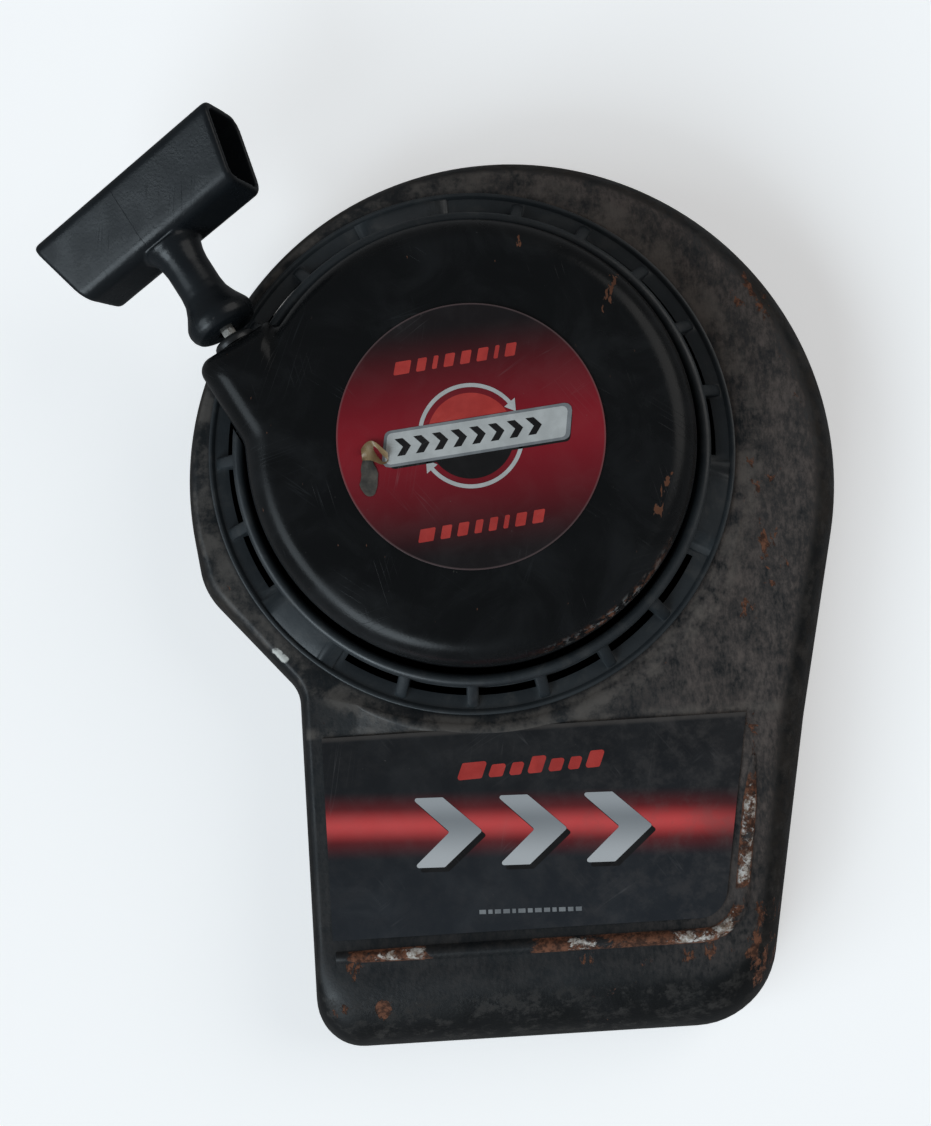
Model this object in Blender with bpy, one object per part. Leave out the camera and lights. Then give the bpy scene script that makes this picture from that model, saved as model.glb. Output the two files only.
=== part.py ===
"""Recoil starter on its engine blower housing, as an assembly of separate solids.

Units are metres and +Z is up. The origin is on the rim plane, below the middle of the part's box.
The shroud lies with its open rim down, so the starter's spin axis is vertical.
The rope leaves the cup horizontally, towards the upper left.
"""

import math

import bmesh
import bpy
from mathutils import Matrix, Vector

# ---- Driving dimensions ----------------------------------------------------------------------

GAP = 0.0003  # running or resting clearance between neighbouring solids
SHEET = 0.0015  # thickness of the shroud's steel
CUP_SHEET = 0.0014  # thickness of the starter cup's steel

SPIN_X, SPIN_Y = 0.00740, 0.04454  # spin axis, set so that the origin is below the box's middle
PULL_ANGLE = math.radians(119)  # direction in which the rope is pulled, from +X

FACE_Z = 0.045  # top face of the shroud
RIM_CENTER, RIM_RADIUS = (0.0143, -0.0084), 0.1146  # the round part of the rim, about the spin axis
RIM_LEFT, RIM_CORNER_X = -0.0656, 0.0901
RIM_BOTTOM, FACE_BOTTOM = -0.2035, -0.1690  # lower edges of the rim and of the top face
FACE_CENTER, FACE_RADIUS, FACE_LEFT = (0.0086, -0.0090), 0.1030, -0.0600
FACE_CORNER_X, FACE_BEND_X, FACE_BEND_Y = 0.0801, 0.0916, -0.0970
RIDGE_HEIGHT, RIDGE_WIDTH, RIDGE_INSET = 0.0022, 0.0052, 0.0015
EAR_REACH, EAR_HALF, EAR_HOLE = 0.0155, 0.0090, 0.0035  # tabs that take the mounting screws

RING_OUTER, RING_TOP_Z, RING_FLOOR = 0.0899, 0.0580, 0.0465
BEAD_INNER, BEAD_OUTER = 0.0764, 0.0804  # the collar inside the vents
SLOT_INNER, SLOT_OUTER, RIB_WIDTH = 0.0807, 0.0832, 0.0040
INTAKE_RADIUS, RIVET_EAR_RADIUS = 0.0845, 0.0790  # the shroud's hole, and where its ears end
VENT_GROUPS, SLOTS_PER_GROUP = 3, 6
PLAIN_ANGLE = math.radians(21.8)  # each smooth stretch between two groups of vents
FIRST_PLAIN = math.radians(-17)  # middle of the first smooth stretch

CUP_RADIUS, CUP_TOP_Z, CUP_FOOT_Z, CUP_EDGE = 0.0742, 0.078, 0.042, 0.0115
LUG_LEFT, LUG_RIGHT, LUG_FRONT, LUG_FLOOR_Z = -0.0632, -0.0345, 0.070, 0.050

ROPE_RADIUS, ROPE_Z, ROPE_LINE = 0.0022, 0.0615, 0.0480
EYELET_RADIUS, EYELET_INSIDE = 0.0050, 0.0660  # the bush in the lug, and where its inner end is
POST_RADIUS, SPIGOT_RADIUS = 0.006, 0.0046
PULLEY_RADIUS, CORE_RADIUS = 0.0550, 0.0279
GROOVE_LOW, GROOVE_HIGH = 0.0585, 0.0645
ARBOR_RADIUS, ARBOR_TOP_Z = 0.0135, 0.0750
PIVOT_CIRCLE, PAWL_LENGTH = 0.0235, 0.020
GUIDE_Z, GUIDE_THICK, GUIDE_RADIUS = 0.0460, 0.0020, 0.0312

NOSE_START = 0.076  # from the spin axis to the grip's nose, along the pull
GRIP_TWIST = math.radians(-22)  # the grip's turn about the rope as it hangs
GRIP_INNER, GRIP_OUTER = 0.034, 0.0615  # the hollow bar's near and far faces, from the nose
GRIP_HALF_HEIGHT, GRIP_WALL = 0.011, 0.0025
GRIP_HALF_INNER, GRIP_HALF_OUTER = 0.0333, 0.0403
GRIP_BEND, GRIP_INNER_BEND = 0.0052, 0.0027  # rounding of the bar's edges, outside and inside
GRIP_BORE = 0.0031
GRIP_RAKE = 0.19  # how far the bar leans along the rope, for each unit of its height
GRIP_SEAT = GRIP_INNER + GRIP_WALL + 0.0018  # flat boss inside the bar that the washer rests on
WASHER_THICK = 0.0012

ROUND_LABEL_RADIUS, LABEL_THICK = 0.0435, 0.0004
PANEL_LEFT, PANEL_TOP, PANEL_BOTTOM = -0.0567, -0.0944, -0.1618
PANEL_UPPER_RIGHT, PANEL_LOWER_RIGHT, PANEL_BEND = 0.0866, 0.0743, 0.010

PULL = Vector((math.cos(PULL_ANGLE), math.sin(PULL_ANGLE), 0))
ACROSS = Vector((math.sin(PULL_ANGLE), -math.cos(PULL_ANGLE), 0))


# ---- Scene and materials ---------------------------------------------------------------------

def clear_scene():
    for old in list(bpy.data.objects):
        bpy.data.objects.remove(old, do_unlink=True)


def material(name, color, roughness, metallic=0.0):
    made = bpy.data.materials.new(name)
    made.use_nodes = True
    shader = made.node_tree.nodes["Principled BSDF"]
    shader.inputs["Base Color"].default_value = (*color, 1.0)
    shader.inputs["Roughness"].default_value = roughness
    shader.inputs["Metallic"].default_value = metallic
    return made


def empty(name, location, parent=None, turn=(0, 0, 0)):
    made = bpy.data.objects.new(name, None)
    made.location = location
    made.rotation_euler = turn
    made.parent = parent
    bpy.context.scene.collection.objects.link(made)
    return made


# ---- Mesh helpers ----------------------------------------------------------------------------

def solid(name, points, faces, look, parent, location=(0, 0, 0), turn=(0, 0, 0)):
    """One object from points and faces, with its faces turned outwards."""
    mesh = bpy.data.meshes.new(name)
    shape = bmesh.new()
    corners = [shape.verts.new(point) for point in points]
    for face in faces:
        shape.faces.new([corners[index] for index in face])
    bmesh.ops.recalc_face_normals(shape, faces=shape.faces)
    shape.to_mesh(mesh)
    shape.free()
    mesh.shade_smooth()
    mesh.set_sharp_from_angle(angle=math.radians(32))
    if look is not None:
        mesh.materials.append(look)
    made = bpy.data.objects.new(name, mesh)
    made.location = location
    made.rotation_euler = turn
    made.parent = parent
    bpy.context.scene.collection.objects.link(made)
    return made


def ring_faces(count, rings, closed):
    """Quads between successive rings of count points each; closed joins the last ring to the first."""
    faces = []
    for ring in range(rings if closed else rings - 1):
        low = ring * count
        high = ((ring + 1) % rings) * count
        for index in range(count):
            after = (index + 1) % count
            faces.append((low + index, low + after, high + after, high + index))
    return faces


def loft(rings, closed=False):
    """Points and faces of a skin over rings of equal length, capped at both ends unless closed."""
    count = len(rings[0])
    points = [point for ring in rings for point in ring]
    faces = ring_faces(count, len(rings), closed)
    if not closed:
        faces.append(tuple(range(count)))
        faces.append(tuple(range(len(points) - count, len(points))))
    return points, faces


def lathe(profile, segments, closed=True):
    """A profile of (radius, height) pairs turned about Z; closed makes a ring with a hole through it."""
    rings = []
    for radius, height in profile:
        angles = [2 * math.pi * step / segments for step in range(segments)]
        rings.append([(radius * math.cos(a), radius * math.sin(a), height) for a in angles])
    return loft(rings, closed)


def prism(outline, low, high):
    return loft([[(x, y, low) for x, y in outline], [(x, y, high) for x, y in outline]])


def merged(shapes):
    """Several separate closed shapes as the points and faces of one mesh, for use as a Boolean's operand."""
    points, faces = [], []
    for some_points, some_faces in shapes:
        start = len(points)
        points.extend(some_points)
        faces.extend([tuple(index + start for index in face) for face in some_faces])
    return points, faces


def turned(shape, angle):
    """A shape turned about Z."""
    rotation = Matrix.Rotation(angle, 3, "Z")
    points, faces = shape
    return [tuple(rotation @ Vector(point)) for point in points], faces


def moved(shape, offset):
    points, faces = shape
    return [tuple(Vector(point) + Vector(offset)) for point in points], faces


def boolean(target, operation, shape, name, parent):
    """Adds a cut or a join with a hidden helper that shares the target's parent."""
    helper = solid(name, *shape, None, parent)
    helper.hide_render = True
    helper.display_type = "WIRE"
    step = target.modifiers.new(name, "BOOLEAN")
    step.operation = operation
    step.solver = "EXACT"
    step.object = helper


def arc(center, radius, start, end, steps):
    """Points on an arc from start to end, both included."""
    found = []
    for step in range(steps + 1):
        angle = start + (end - start) * step / steps
        found.append((center[0] + radius * math.cos(angle), center[1] + radius * math.sin(angle)))
    return found


def fillet(before, corner, after, radius, steps):
    """Points of the arc that rounds a corner between two straight runs."""
    corner = Vector(corner)
    incoming = (Vector(before) - corner).normalized()
    outgoing = (Vector(after) - corner).normalized()
    half = incoming.angle(outgoing) / 2
    reach = radius / math.tan(half)
    center = corner + (incoming + outgoing).normalized() * radius / math.sin(half)
    first = corner + incoming * reach - center
    last = corner + outgoing * reach - center
    start = math.atan2(first.y, first.x)
    sweep = math.atan2(first.x * last.y - first.y * last.x, first.dot(last))
    return arc(center, radius, start, start + sweep, steps)


def round_with_corners(center, radius, start, end, steps, corners, corner_steps):
    """An outline made of one long arc and then rounded corners, back to the arc's start."""
    points = arc(center, radius, start, end, steps)
    first, last = points[0], points[-1]
    route = [last] + [(x, y) for x, y, _ in corners] + [first]
    for place, (x, y, bend) in enumerate(corners):
        points.extend(fillet(route[place], (x, y), route[place + 2], bend, corner_steps))
    return points


def annular_sector(inner, outer, low, high, start, end, steps):
    """A closed block between two radii, two heights and two angles."""
    outline = arc((0, 0), outer, start, end, steps) + arc((0, 0), inner, end, start, steps)
    return prism(outline, low, high)


# ---- Shroud ----------------------------------------------------------------------------------

def rim_outline(inset=0.0):
    """The shroud's outline on the rim plane, about the spin axis."""
    corners = [
        (-0.0976 + inset, -0.0415, 0.025),
        (RIM_LEFT + inset, -0.0785, 0.012 + inset),
        (RIM_LEFT + inset, RIM_BOTTOM + inset, 0.016 - inset),
        (RIM_CORNER_X - inset, RIM_BOTTOM + inset, 0.030 - inset),
        (0.1116 - inset, -0.0970, 0.150),
    ]
    return shroud_outline(RIM_CENTER, RIM_RADIUS - inset, corners)


def face_outline(inset=0.0):
    """The outline of the shroud's top face, with as many points as the rim's."""
    corners = [
        (-0.0894 + inset, -0.0400, 0.022),
        (FACE_LEFT + inset, -0.0760, 0.014 + inset),
        (FACE_LEFT + inset, FACE_BOTTOM + inset, 0.009 - inset),
        (FACE_CORNER_X - inset, FACE_BOTTOM + inset, 0.016 - inset),
        (FACE_BEND_X - inset, FACE_BEND_Y, 0.120),
    ]
    return shroud_outline(FACE_CENTER, FACE_RADIUS - inset, corners)


def shroud_outline(center, radius, corners):
    start, end = math.radians(-13), math.radians(188)
    return round_with_corners(center, radius, start, end, 38, corners, 5)


def wall_rings(inset, top):
    """Rings up the sloping wall, from the rim to the top face."""
    low, high = rim_outline(inset), face_outline(inset)
    rings = []
    steps = 5
    for step in range(steps + 1):
        share = step / steps
        lean = share * share * (0.6 + 0.4 * share)
        height = top * math.sin(share * math.pi / 2) ** 0.92
        ring = [
            (x + (u - x) * lean, y + (v - y) * lean, height)
            for (x, y), (u, v) in zip(low, high)
        ]
        rings.append(ring)
    return rings


def ridge_path():
    """The crest's centre line: along the bottom of the label panel and up its right side."""
    bottom = FACE_BOTTOM + RIDGE_INSET
    corner = (FACE_CORNER_X - RIDGE_INSET, bottom)
    bend = (FACE_BEND_X - RIDGE_INSET, FACE_BEND_Y)
    points = [(-0.0559, bottom), (-0.0494, bottom)]
    points.extend(fillet(points[-1], corner, bend, 0.014, 6))
    points.append(tuple(Vector(corner).lerp(Vector(bend), 0.83)))
    return points


def ridge():
    """A low rounded crest swept along its path, sunk into the face that carries it."""
    path = [Vector(point) for point in ridge_path()]
    rings = []
    for place, point in enumerate(path):
        ahead = path[min(place + 1, len(path) - 1)] - path[max(place - 1, 0)]
        side = Vector((ahead.y, -ahead.x)).normalized()
        ends = place in (0, len(path) - 1)
        width = RIDGE_WIDTH * (0.4 if ends else 1.0)
        height = RIDGE_HEIGHT * (0.25 if ends else 1.0)
        ring = []
        for across, up in ((-0.5, -0.4), (-0.5, 0.05), (-0.2, 0.9), (0.2, 0.9), (0.5, 0.05), (0.5, -0.4)):
            spot = point + side * across * width
            ring.append((spot.x, spot.y, FACE_Z + (up * height if up > 0 else up * SHEET)))
        rings.append(ring)
    return loft(rings)


def mounting_ear(x, y, facing):
    """A tab turned inwards from the rim, with its screw hole: returns the tab and the hole."""
    tip = arc((EAR_REACH - EAR_HALF, 0), EAR_HALF, -math.pi / 2, math.pi / 2, 8)
    outline = [(0, EAR_HALF), (0, -EAR_HALF)] + tip
    hole = arc((EAR_REACH - EAR_HALF, 0), EAR_HOLE, 0, 2 * math.pi * 15 / 16, 15)
    spin = Matrix.Rotation(facing, 3, "Z")

    def place(points):
        found = [spin @ Vector((u, v, 0)) for u, v in points]
        return [(p.x + x, p.y + y) for p in found]

    return prism(place(outline), 0, SHEET), prism(place(hole), -0.002, SHEET + 0.002)


def ear_places():
    """Each ear's root, in the middle of the wall's sheet, and the direction in which the ear points."""
    middle = RIM_RADIUS - SHEET / 2
    found = []
    for angle in (math.radians(147), math.radians(35)):
        x = RIM_CENTER[0] + middle * math.cos(angle)
        y = RIM_CENTER[1] + middle * math.sin(angle)
        found.append((x, y, angle + math.pi))
    lean = math.radians(11.4)
    ear_y = -0.1650
    right_wall = RIM_CORNER_X + (ear_y - RIM_BOTTOM) * math.tan(lean)
    found.append((RIM_LEFT + SHEET / 2, ear_y, 0.0))
    found.append((right_wall - SHEET / 2, ear_y, math.pi - lean))
    return found


def plain_angles():
    return [FIRST_PLAIN + group * 2 * math.pi / VENT_GROUPS for group in range(VENT_GROUPS)]


def add_shroud(looks, spin):
    outer = wall_rings(0.0, FACE_Z)
    inner = wall_rings(SHEET, FACE_Z - SHEET)
    shroud = solid("blower_housing", *loft(list(reversed(inner)) + outer), looks["shroud"], spin)
    boolean(shroud, "UNION", ridge(), "panel_ridge_helper", spin)
    ears = [mounting_ear(*place) for place in ear_places()]
    boolean(shroud, "UNION", merged([tab for tab, _ in ears]), "mounting_ear_helper", spin)
    boolean(shroud, "DIFFERENCE", merged([hole for _, hole in ears]), "ear_hole_helper", spin)

    # The air intake: a round hole that keeps three ears for the cup's rivets.
    ear_half = math.radians(7)
    outline = []
    for angle in plain_angles():
        outline.extend(arc((0, 0), RIVET_EAR_RADIUS, angle - ear_half, angle + ear_half, 4))
        after = angle + 2 * math.pi / VENT_GROUPS
        outline.extend(arc((0, 0), INTAKE_RADIUS, angle + ear_half * 1.2, after - ear_half * 1.2, 20))
    boolean(shroud, "DIFFERENCE", prism(outline, 0.030, 0.060), "intake_helper", spin)
    boolean(shroud, "DIFFERENCE", rivet_holes(), "shroud_rivet_hole_helper", spin)


# ---- Air intake ring -------------------------------------------------------------------------

def slot_angles():
    """Start and end angle of every vent slot."""
    group_angle = 2 * math.pi / VENT_GROUPS - PLAIN_ANGLE
    pitch = group_angle / SLOTS_PER_GROUP
    rib_half = RIB_WIDTH / 2 / BEAD_OUTER
    found = []
    for plain in plain_angles():
        start = plain + PLAIN_ANGLE / 2
        for slot in range(SLOTS_PER_GROUP):
            low = start + slot * pitch + rib_half
            found.append((low, low + pitch - 2 * rib_half))
    return found


def rib_angles():
    group_angle = 2 * math.pi / VENT_GROUPS - PLAIN_ANGLE
    pitch = group_angle / SLOTS_PER_GROUP
    found = []
    for plain in plain_angles():
        start = plain + PLAIN_ANGLE / 2
        found.extend(start + rib * pitch for rib in range(1, SLOTS_PER_GROUP))
    return found


def rib(angle):
    """One web, sloping from the bead down to the ledge."""
    profile = [(0.0796, 0.0560), (0.0796, 0.0458), (0.0872, 0.0458), (0.0872, 0.0474), (0.0860, 0.0486)]
    half = RIB_WIDTH / 2
    sides = [[(r, -half, z) for r, z in profile], [(r, half, z) for r, z in profile]]
    return turned(loft(sides), angle)


def plain_cone(angle):
    """A smooth sloping sheet that closes the ring between two groups of vents."""
    profile = [(0.0797, 0.0555), (0.0797, 0.0536), (0.0866, 0.0456), (0.0882, 0.0460), (0.0882, 0.0468)]
    steps = 6
    rings = []
    for step in range(steps + 1):
        turn = angle - PLAIN_ANGLE / 2 + PLAIN_ANGLE * step / steps
        rings.append([(r * math.cos(turn), r * math.sin(turn), z) for r, z in profile])
    return loft(rings)


def hook(angle):
    """A snap hook that goes down through the shroud's hole and catches under its edge."""
    profile = [(0.0818, 0.0460), (0.0818, 0.0415), (0.0838, 0.0415), (0.0860, 0.0427), (0.0860, 0.0431),
               (0.0838, 0.0431), (0.0838, 0.0460)]
    sides = [[(r, -0.003, z) for r, z in profile], [(r, 0.003, z) for r, z in profile]]
    return turned(loft(sides), angle)


def add_intake_ring(looks, spin):
    base = FACE_Z + GAP
    profile = [
        (BEAD_INNER, base), (RING_OUTER, base), (RING_OUTER, 0.0472), (0.0894, 0.0476), (0.0884, 0.0476),
        (0.0878, RING_FLOOR), (BEAD_OUTER, RING_FLOOR), (BEAD_OUTER, 0.0572),
        (BEAD_OUTER - 0.0006, RING_TOP_Z), (BEAD_INNER + 0.0006, RING_TOP_Z), (BEAD_INNER, 0.0572),
    ]
    ring = solid("air_intake_ring", *lathe(profile, 72), looks["ring"], spin)
    slots = [
        annular_sector(SLOT_INNER, SLOT_OUTER, 0.0440, 0.0480, start, end, 3)
        for start, end in slot_angles()
    ]
    boolean(ring, "DIFFERENCE", merged(slots), "vent_slot_helper", spin)
    boolean(ring, "UNION", merged([rib(angle) for angle in rib_angles()]), "vent_rib_helper", spin)
    half = math.radians(8.2)
    pockets = [
        annular_sector(SLOT_INNER, 0.0870, 0.0440, 0.0480, angle - half, angle + half, 5)
        for angle in plain_angles()
    ]
    boolean(ring, "DIFFERENCE", merged(pockets), "rivet_pocket_helper", spin)
    cones = merged([plain_cone(angle) for angle in plain_angles()])
    boolean(ring, "UNION", cones, "plain_cone_helper", spin)
    notch = prism(cup_outline(-0.001), LUG_FLOOR_Z - 0.0012, RING_TOP_Z + 0.002)
    boolean(ring, "DIFFERENCE", notch, "lug_notch_helper", spin)
    middles = [rib_angles()[2 + group * 5] for group in range(VENT_GROUPS)]
    boolean(ring, "UNION", merged([hook(angle) for angle in middles]), "snap_hook_helper", spin)


# ---- Starter cup -----------------------------------------------------------------------------

RIVET_CIRCLE, RIVET_HOLE, RIVET_RADIUS, RIVET_HEAD = 0.0837, 0.0019, 0.0016, 0.0026
FOOT_THICK = 0.0012


def rivet_holes():
    hole = lathe([(RIVET_HOLE, 0.036), (RIVET_HOLE, 0.050)], 12, closed=False)
    return merged([turned(moved(hole, (RIVET_CIRCLE, 0, 0)), angle) for angle in plain_angles()])


def tangent_meets(radius, angle, across):
    """Distance along the pull at which a tangent of a circle about the axis meets a line of the lug."""
    run = (across - radius * math.cos(angle)) / -math.sin(angle)
    return radius * math.sin(angle) + run * math.cos(angle)


def cup_outline(inset):
    """The cup seen from above: a circle with a squared lug where the rope comes out."""
    radius = CUP_RADIUS - inset
    right, left, front = LUG_RIGHT - inset, LUG_LEFT + inset, LUG_FRONT - inset
    last = math.acos(right / radius) - math.radians(4)
    first = math.acos(left / radius) + math.radians(6)
    corners = [
        (right, tangent_meets(radius, last, right), 0.0018),
        (right, front, 0.0016),
        (left, front, 0.0048),
        (left, tangent_meets(radius, first, left), 0.0100),
    ]
    local = round_with_corners((0, 0), radius, first, 2 * math.pi + last, 48, corners, 3)
    spots = [ACROSS * across + PULL * along for across, along in local]
    return [(spot.x, spot.y) for spot in spots]


def cup_rings(inset, edge, foot, top):
    """Rings up the cup's wall and over its rounded edge."""
    rings = [[(x, y, foot) for x, y in cup_outline(inset)]]
    steps = 4
    for step in range(steps + 1):
        angle = step / steps * math.pi / 2
        pull_in = inset + edge * (1 - math.cos(angle)) * 0.85
        height = top - edge + edge * math.sin(angle)
        rings.append([(x, y, height) for x, y in cup_outline(pull_in)])
    return rings


def cup_foot(angle):
    """A foot that reaches out below the shroud's sheet and takes one rivet."""
    half = 0.009
    root = CUP_RADIUS - 0.0008
    outline = [(root, -half), (0.0860, -half), (0.0885, -half * 0.7)]
    outline += [(0.0885, half * 0.7), (0.0860, half), (root, half)]
    return turned(prism(outline, CUP_FOOT_Z, CUP_FOOT_Z + FOOT_THICK), angle)


def add_cup(looks, spin):
    outer = cup_rings(0.0, CUP_EDGE, LUG_FLOOR_Z, CUP_TOP_Z)
    inner = cup_rings(CUP_SHEET, CUP_EDGE - CUP_SHEET, LUG_FLOOR_Z, CUP_TOP_Z - CUP_SHEET)
    cup = solid("starter_cup", *loft(list(reversed(inner)) + outer), looks["cup"], spin)
    thin = 0.00015
    inside, outside = CUP_RADIUS - CUP_SHEET + thin, CUP_RADIUS - thin
    skirt = [(inside, CUP_FOOT_Z), (outside, CUP_FOOT_Z), (outside, LUG_FLOOR_Z + 0.001)]
    skirt.append((inside, LUG_FLOOR_Z + 0.001))
    boolean(cup, "UNION", lathe(skirt, 60), "cup_skirt_helper", spin)
    feet = merged([cup_foot(angle) for angle in plain_angles()])
    boolean(cup, "UNION", feet, "cup_foot_helper", spin)
    boolean(cup, "DIFFERENCE", rivet_holes(), "cup_rivet_hole_helper", spin)
    stud = lathe([(0.0022, 0.0668), (0.0022, CUP_TOP_Z - 0.0015)], 12, closed=False)
    boolean(cup, "UNION", moved(stud, SPRING_ANCHOR), "spring_anchor_helper", spin)
    hole_radius = EYELET_RADIUS + GAP
    hole = along_pull(lathe([(hole_radius, 0.062), (hole_radius, 0.074)], 20, closed=False))
    boolean(cup, "DIFFERENCE", hole, "eyelet_hole_helper", spin)


def along_pull(shape):
    """Turns a shape made about Z onto the rope's line: its heights become distances along the pull."""
    points, faces = shape
    found = []
    for x, y, z in points:
        spot = PULL * z - ACROSS * (ROPE_LINE + x) + Vector((0, 0, ROPE_Z + y))
        found.append(tuple(spot))
    return found, faces


def add_rivets(looks, spin):
    base = FACE_Z + GAP
    foot = CUP_FOOT_Z - GAP
    profile = [
        (0.0015, foot - 0.0011), (RIVET_HEAD, foot - 0.0006), (RIVET_HEAD, foot), (RIVET_RADIUS, foot),
        (RIVET_RADIUS, base), (RIVET_HEAD, base), (RIVET_HEAD, base + 0.0004), (0.0015, base + 0.0010),
    ]
    shape = lathe(profile, 16, closed=False)
    for number, angle in enumerate(plain_angles(), 1):
        place = (RIVET_CIRCLE * math.cos(angle), RIVET_CIRCLE * math.sin(angle), 0)
        solid(f"cup_rivet_{number}", *shape, looks["zinc"], spin, place)


def add_eyelet(looks, spin):
    face = LUG_FRONT + GAP
    bore = ROPE_RADIUS + 0.0008
    profile = [
        (bore, EYELET_INSIDE), (EYELET_RADIUS, EYELET_INSIDE), (EYELET_RADIUS, face), (0.0073, face),
        (0.0073, face + 0.0012), (0.0062, face + 0.0026), (0.0046, face + 0.0030), (bore, face + 0.0022),
    ]
    solid("rope_eyelet", *along_pull(lathe(profile, 28)), looks["nylon"], spin)


# ---- Shaft, pulley and recoil spring ---------------------------------------------------------

KNOT_CIRCLE = 0.0200
PAWL_ANGLES = (math.radians(20), math.radians(200))
SPRING_ANCHOR = Vector((0.0655 * math.cos(math.radians(60)), 0.0655 * math.sin(math.radians(60)), 0))


def add_post(looks, spin):
    top = CUP_TOP_Z - CUP_SHEET - GAP
    profile = [
        (0.0028, 0.0425), (SPIGOT_RADIUS, 0.0425), (SPIGOT_RADIUS, 0.0480), (POST_RADIUS, 0.0486),
        (POST_RADIUS, 0.0753), (0.0115, 0.0753), (0.0115, top), (0.0028, top),
    ]
    solid("centre_post", *lathe(profile, 32), looks["steel"], spin)


def add_centre_stack(looks, spin):
    """The parts below the pulley that brake the guide plate: spring washer, flat washer and screw."""
    bore = SPIGOT_RADIUS + GAP
    cone = [(bore, 0.0455), (bore, 0.0449), (0.0102, 0.0437), (0.0102, 0.0443)]
    solid("friction_spring", *lathe(cone, 32), looks["steel"], spin)
    flat = [(0.0030, 0.0409), (0.0118, 0.0409), (0.0118, 0.0422), (0.0030, 0.0422)]
    solid("brake_washer", *lathe(flat, 32), looks["zinc"], spin)
    head = 0.0406
    screw = [
        (0.0040, head - 0.0042), (0.0064, head - 0.0034), (0.0075, head - 0.0016), (0.0075, head),
        (0.0025, head), (0.0025, 0.0580), (0.0018, 0.0590),
    ]
    made = solid("centre_screw", *lathe(screw, 24, closed=False), looks["zinc"], spin)
    slot = prism([(-0.010, -0.0008), (0.010, -0.0008), (0.010, 0.0008), (-0.010, 0.0008)], 0.030, 0.0380)
    boolean(made, "DIFFERENCE", slot, "screw_slot_helper", spin)


def add_pulley(looks, rotor):
    bore = POST_RADIUS + GAP
    low = GROOVE_LOW - 0.0025
    high = GROOVE_HIGH + 0.0020
    hub = GUIDE_Z + GUIDE_THICK + GAP
    profile = [
        (bore, hub), (0.0110, hub), (0.0110, low), (PULLEY_RADIUS, low),
        (PULLEY_RADIUS, GROOVE_LOW - 0.0006), (CORE_RADIUS, GROOVE_LOW), (CORE_RADIUS, GROOVE_HIGH),
        (PULLEY_RADIUS, GROOVE_HIGH + 0.0006), (PULLEY_RADIUS, high), (ARBOR_RADIUS, high),
        (ARBOR_RADIUS, ARBOR_TOP_Z), (bore, ARBOR_TOP_Z),
    ]
    pulley = solid("rope_pulley", *lathe(profile, 48), looks["pulley"], rotor)
    pocket = moved(lathe([(0.0042, 0.0600), (0.0042, 0.0700)], 16, closed=False), (0, KNOT_CIRCLE, 0))
    boolean(pulley, "DIFFERENCE", pocket, "knot_pocket_helper", rotor)
    pins = lathe([(0.0028, 0.0500), (0.0028, 0.0620)], 12, closed=False)
    holes = merged([turned(moved(pins, (PIVOT_CIRCLE, 0, 0)), angle) for angle in PAWL_ANGLES])
    boolean(pulley, "DIFFERENCE", holes, "pivot_hole_helper", rotor)


def add_wound_rope(looks, rotor):
    inner, outer = CORE_RADIUS + GAP, ROPE_LINE + ROPE_RADIUS
    low, high = GROOVE_LOW + GAP, GROOVE_HIGH - GAP
    profile = [
        (inner, low), (outer - 0.0015, low), (outer, low + 0.0016), (outer, high - 0.0016),
        (outer - 0.0015, high), (inner, high),
    ]
    solid("rope_coil", *lathe(profile, 44), looks["rope"], rotor)
    knot = [(0.0016, 0.0604), (0.0034, 0.0616), (0.0037, 0.0632), (0.0034, 0.0648), (0.0016, 0.0660)]
    solid("rope_anchor_knot", *lathe(knot, 14, closed=False), looks["rope"], rotor, (0, KNOT_CIRCLE, 0))


def add_recoil_spring(looks, spin):
    """A flat spiral strip from the pulley's arbor out to the cup's anchor stud."""
    turns, steps_per_turn, half_thick = 6, 22, 0.00045
    start_radius, end_radius = ARBOR_RADIUS + 0.0012, 0.0628
    low, high = 0.0674, 0.0746
    end_angle = math.atan2(SPRING_ANCHOR.y, SPRING_ANCHOR.x)
    steps = turns * steps_per_turn
    rings = []
    for step in range(steps + 1):
        share = step / steps
        angle = end_angle - 2 * math.pi * turns * (1 - share)
        radius = start_radius + (end_radius - start_radius) * share
        inner, outer = radius - half_thick, radius + half_thick
        cos, sin = math.cos(angle), math.sin(angle)
        rings.append([
            (inner * cos, inner * sin, low), (outer * cos, outer * sin, low),
            (outer * cos, outer * sin, high), (inner * cos, inner * sin, high),
        ])
    solid("recoil_spring", *loft(rings), looks["spring"], spin)


# ---- Pawls and their guide plate -------------------------------------------------------------

PAWL_LOW, PAWL_HIGH = 0.0515, 0.0555
PEG_REACH, PEG_RADIUS = 0.0095, 0.0018
PAWL_REST = math.radians(-101)  # direction of a folded pawl, from its pivot's radius
GUIDE_SWEEP, PAWL_SWEEP = math.radians(40), math.radians(36)


def pawl_shape():
    """A hooked blade about its own pivot, pointing along +X."""
    outline = arc((0, 0), 0.0058, math.radians(70), math.radians(290), 10)
    outline += [(0.0100, -0.0040), (0.0165, -0.0034), (PAWL_LENGTH, -0.0012)]
    outline += [(PAWL_LENGTH + 0.0010, 0.0022), (0.0170, 0.0026), (0.0105, 0.0030)]
    return prism(outline, PAWL_LOW, PAWL_HIGH)


def peg_in_guide(share):
    """Where a pawl's peg is, seen from the guide plate, at a share of the full motion."""
    turn = PAWL_REST + PAWL_SWEEP * share
    spot = Vector((PIVOT_CIRCLE + PEG_REACH * math.cos(turn), PEG_REACH * math.sin(turn)))
    return Matrix.Rotation(-GUIDE_SWEEP * share, 2) @ spot


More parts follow.
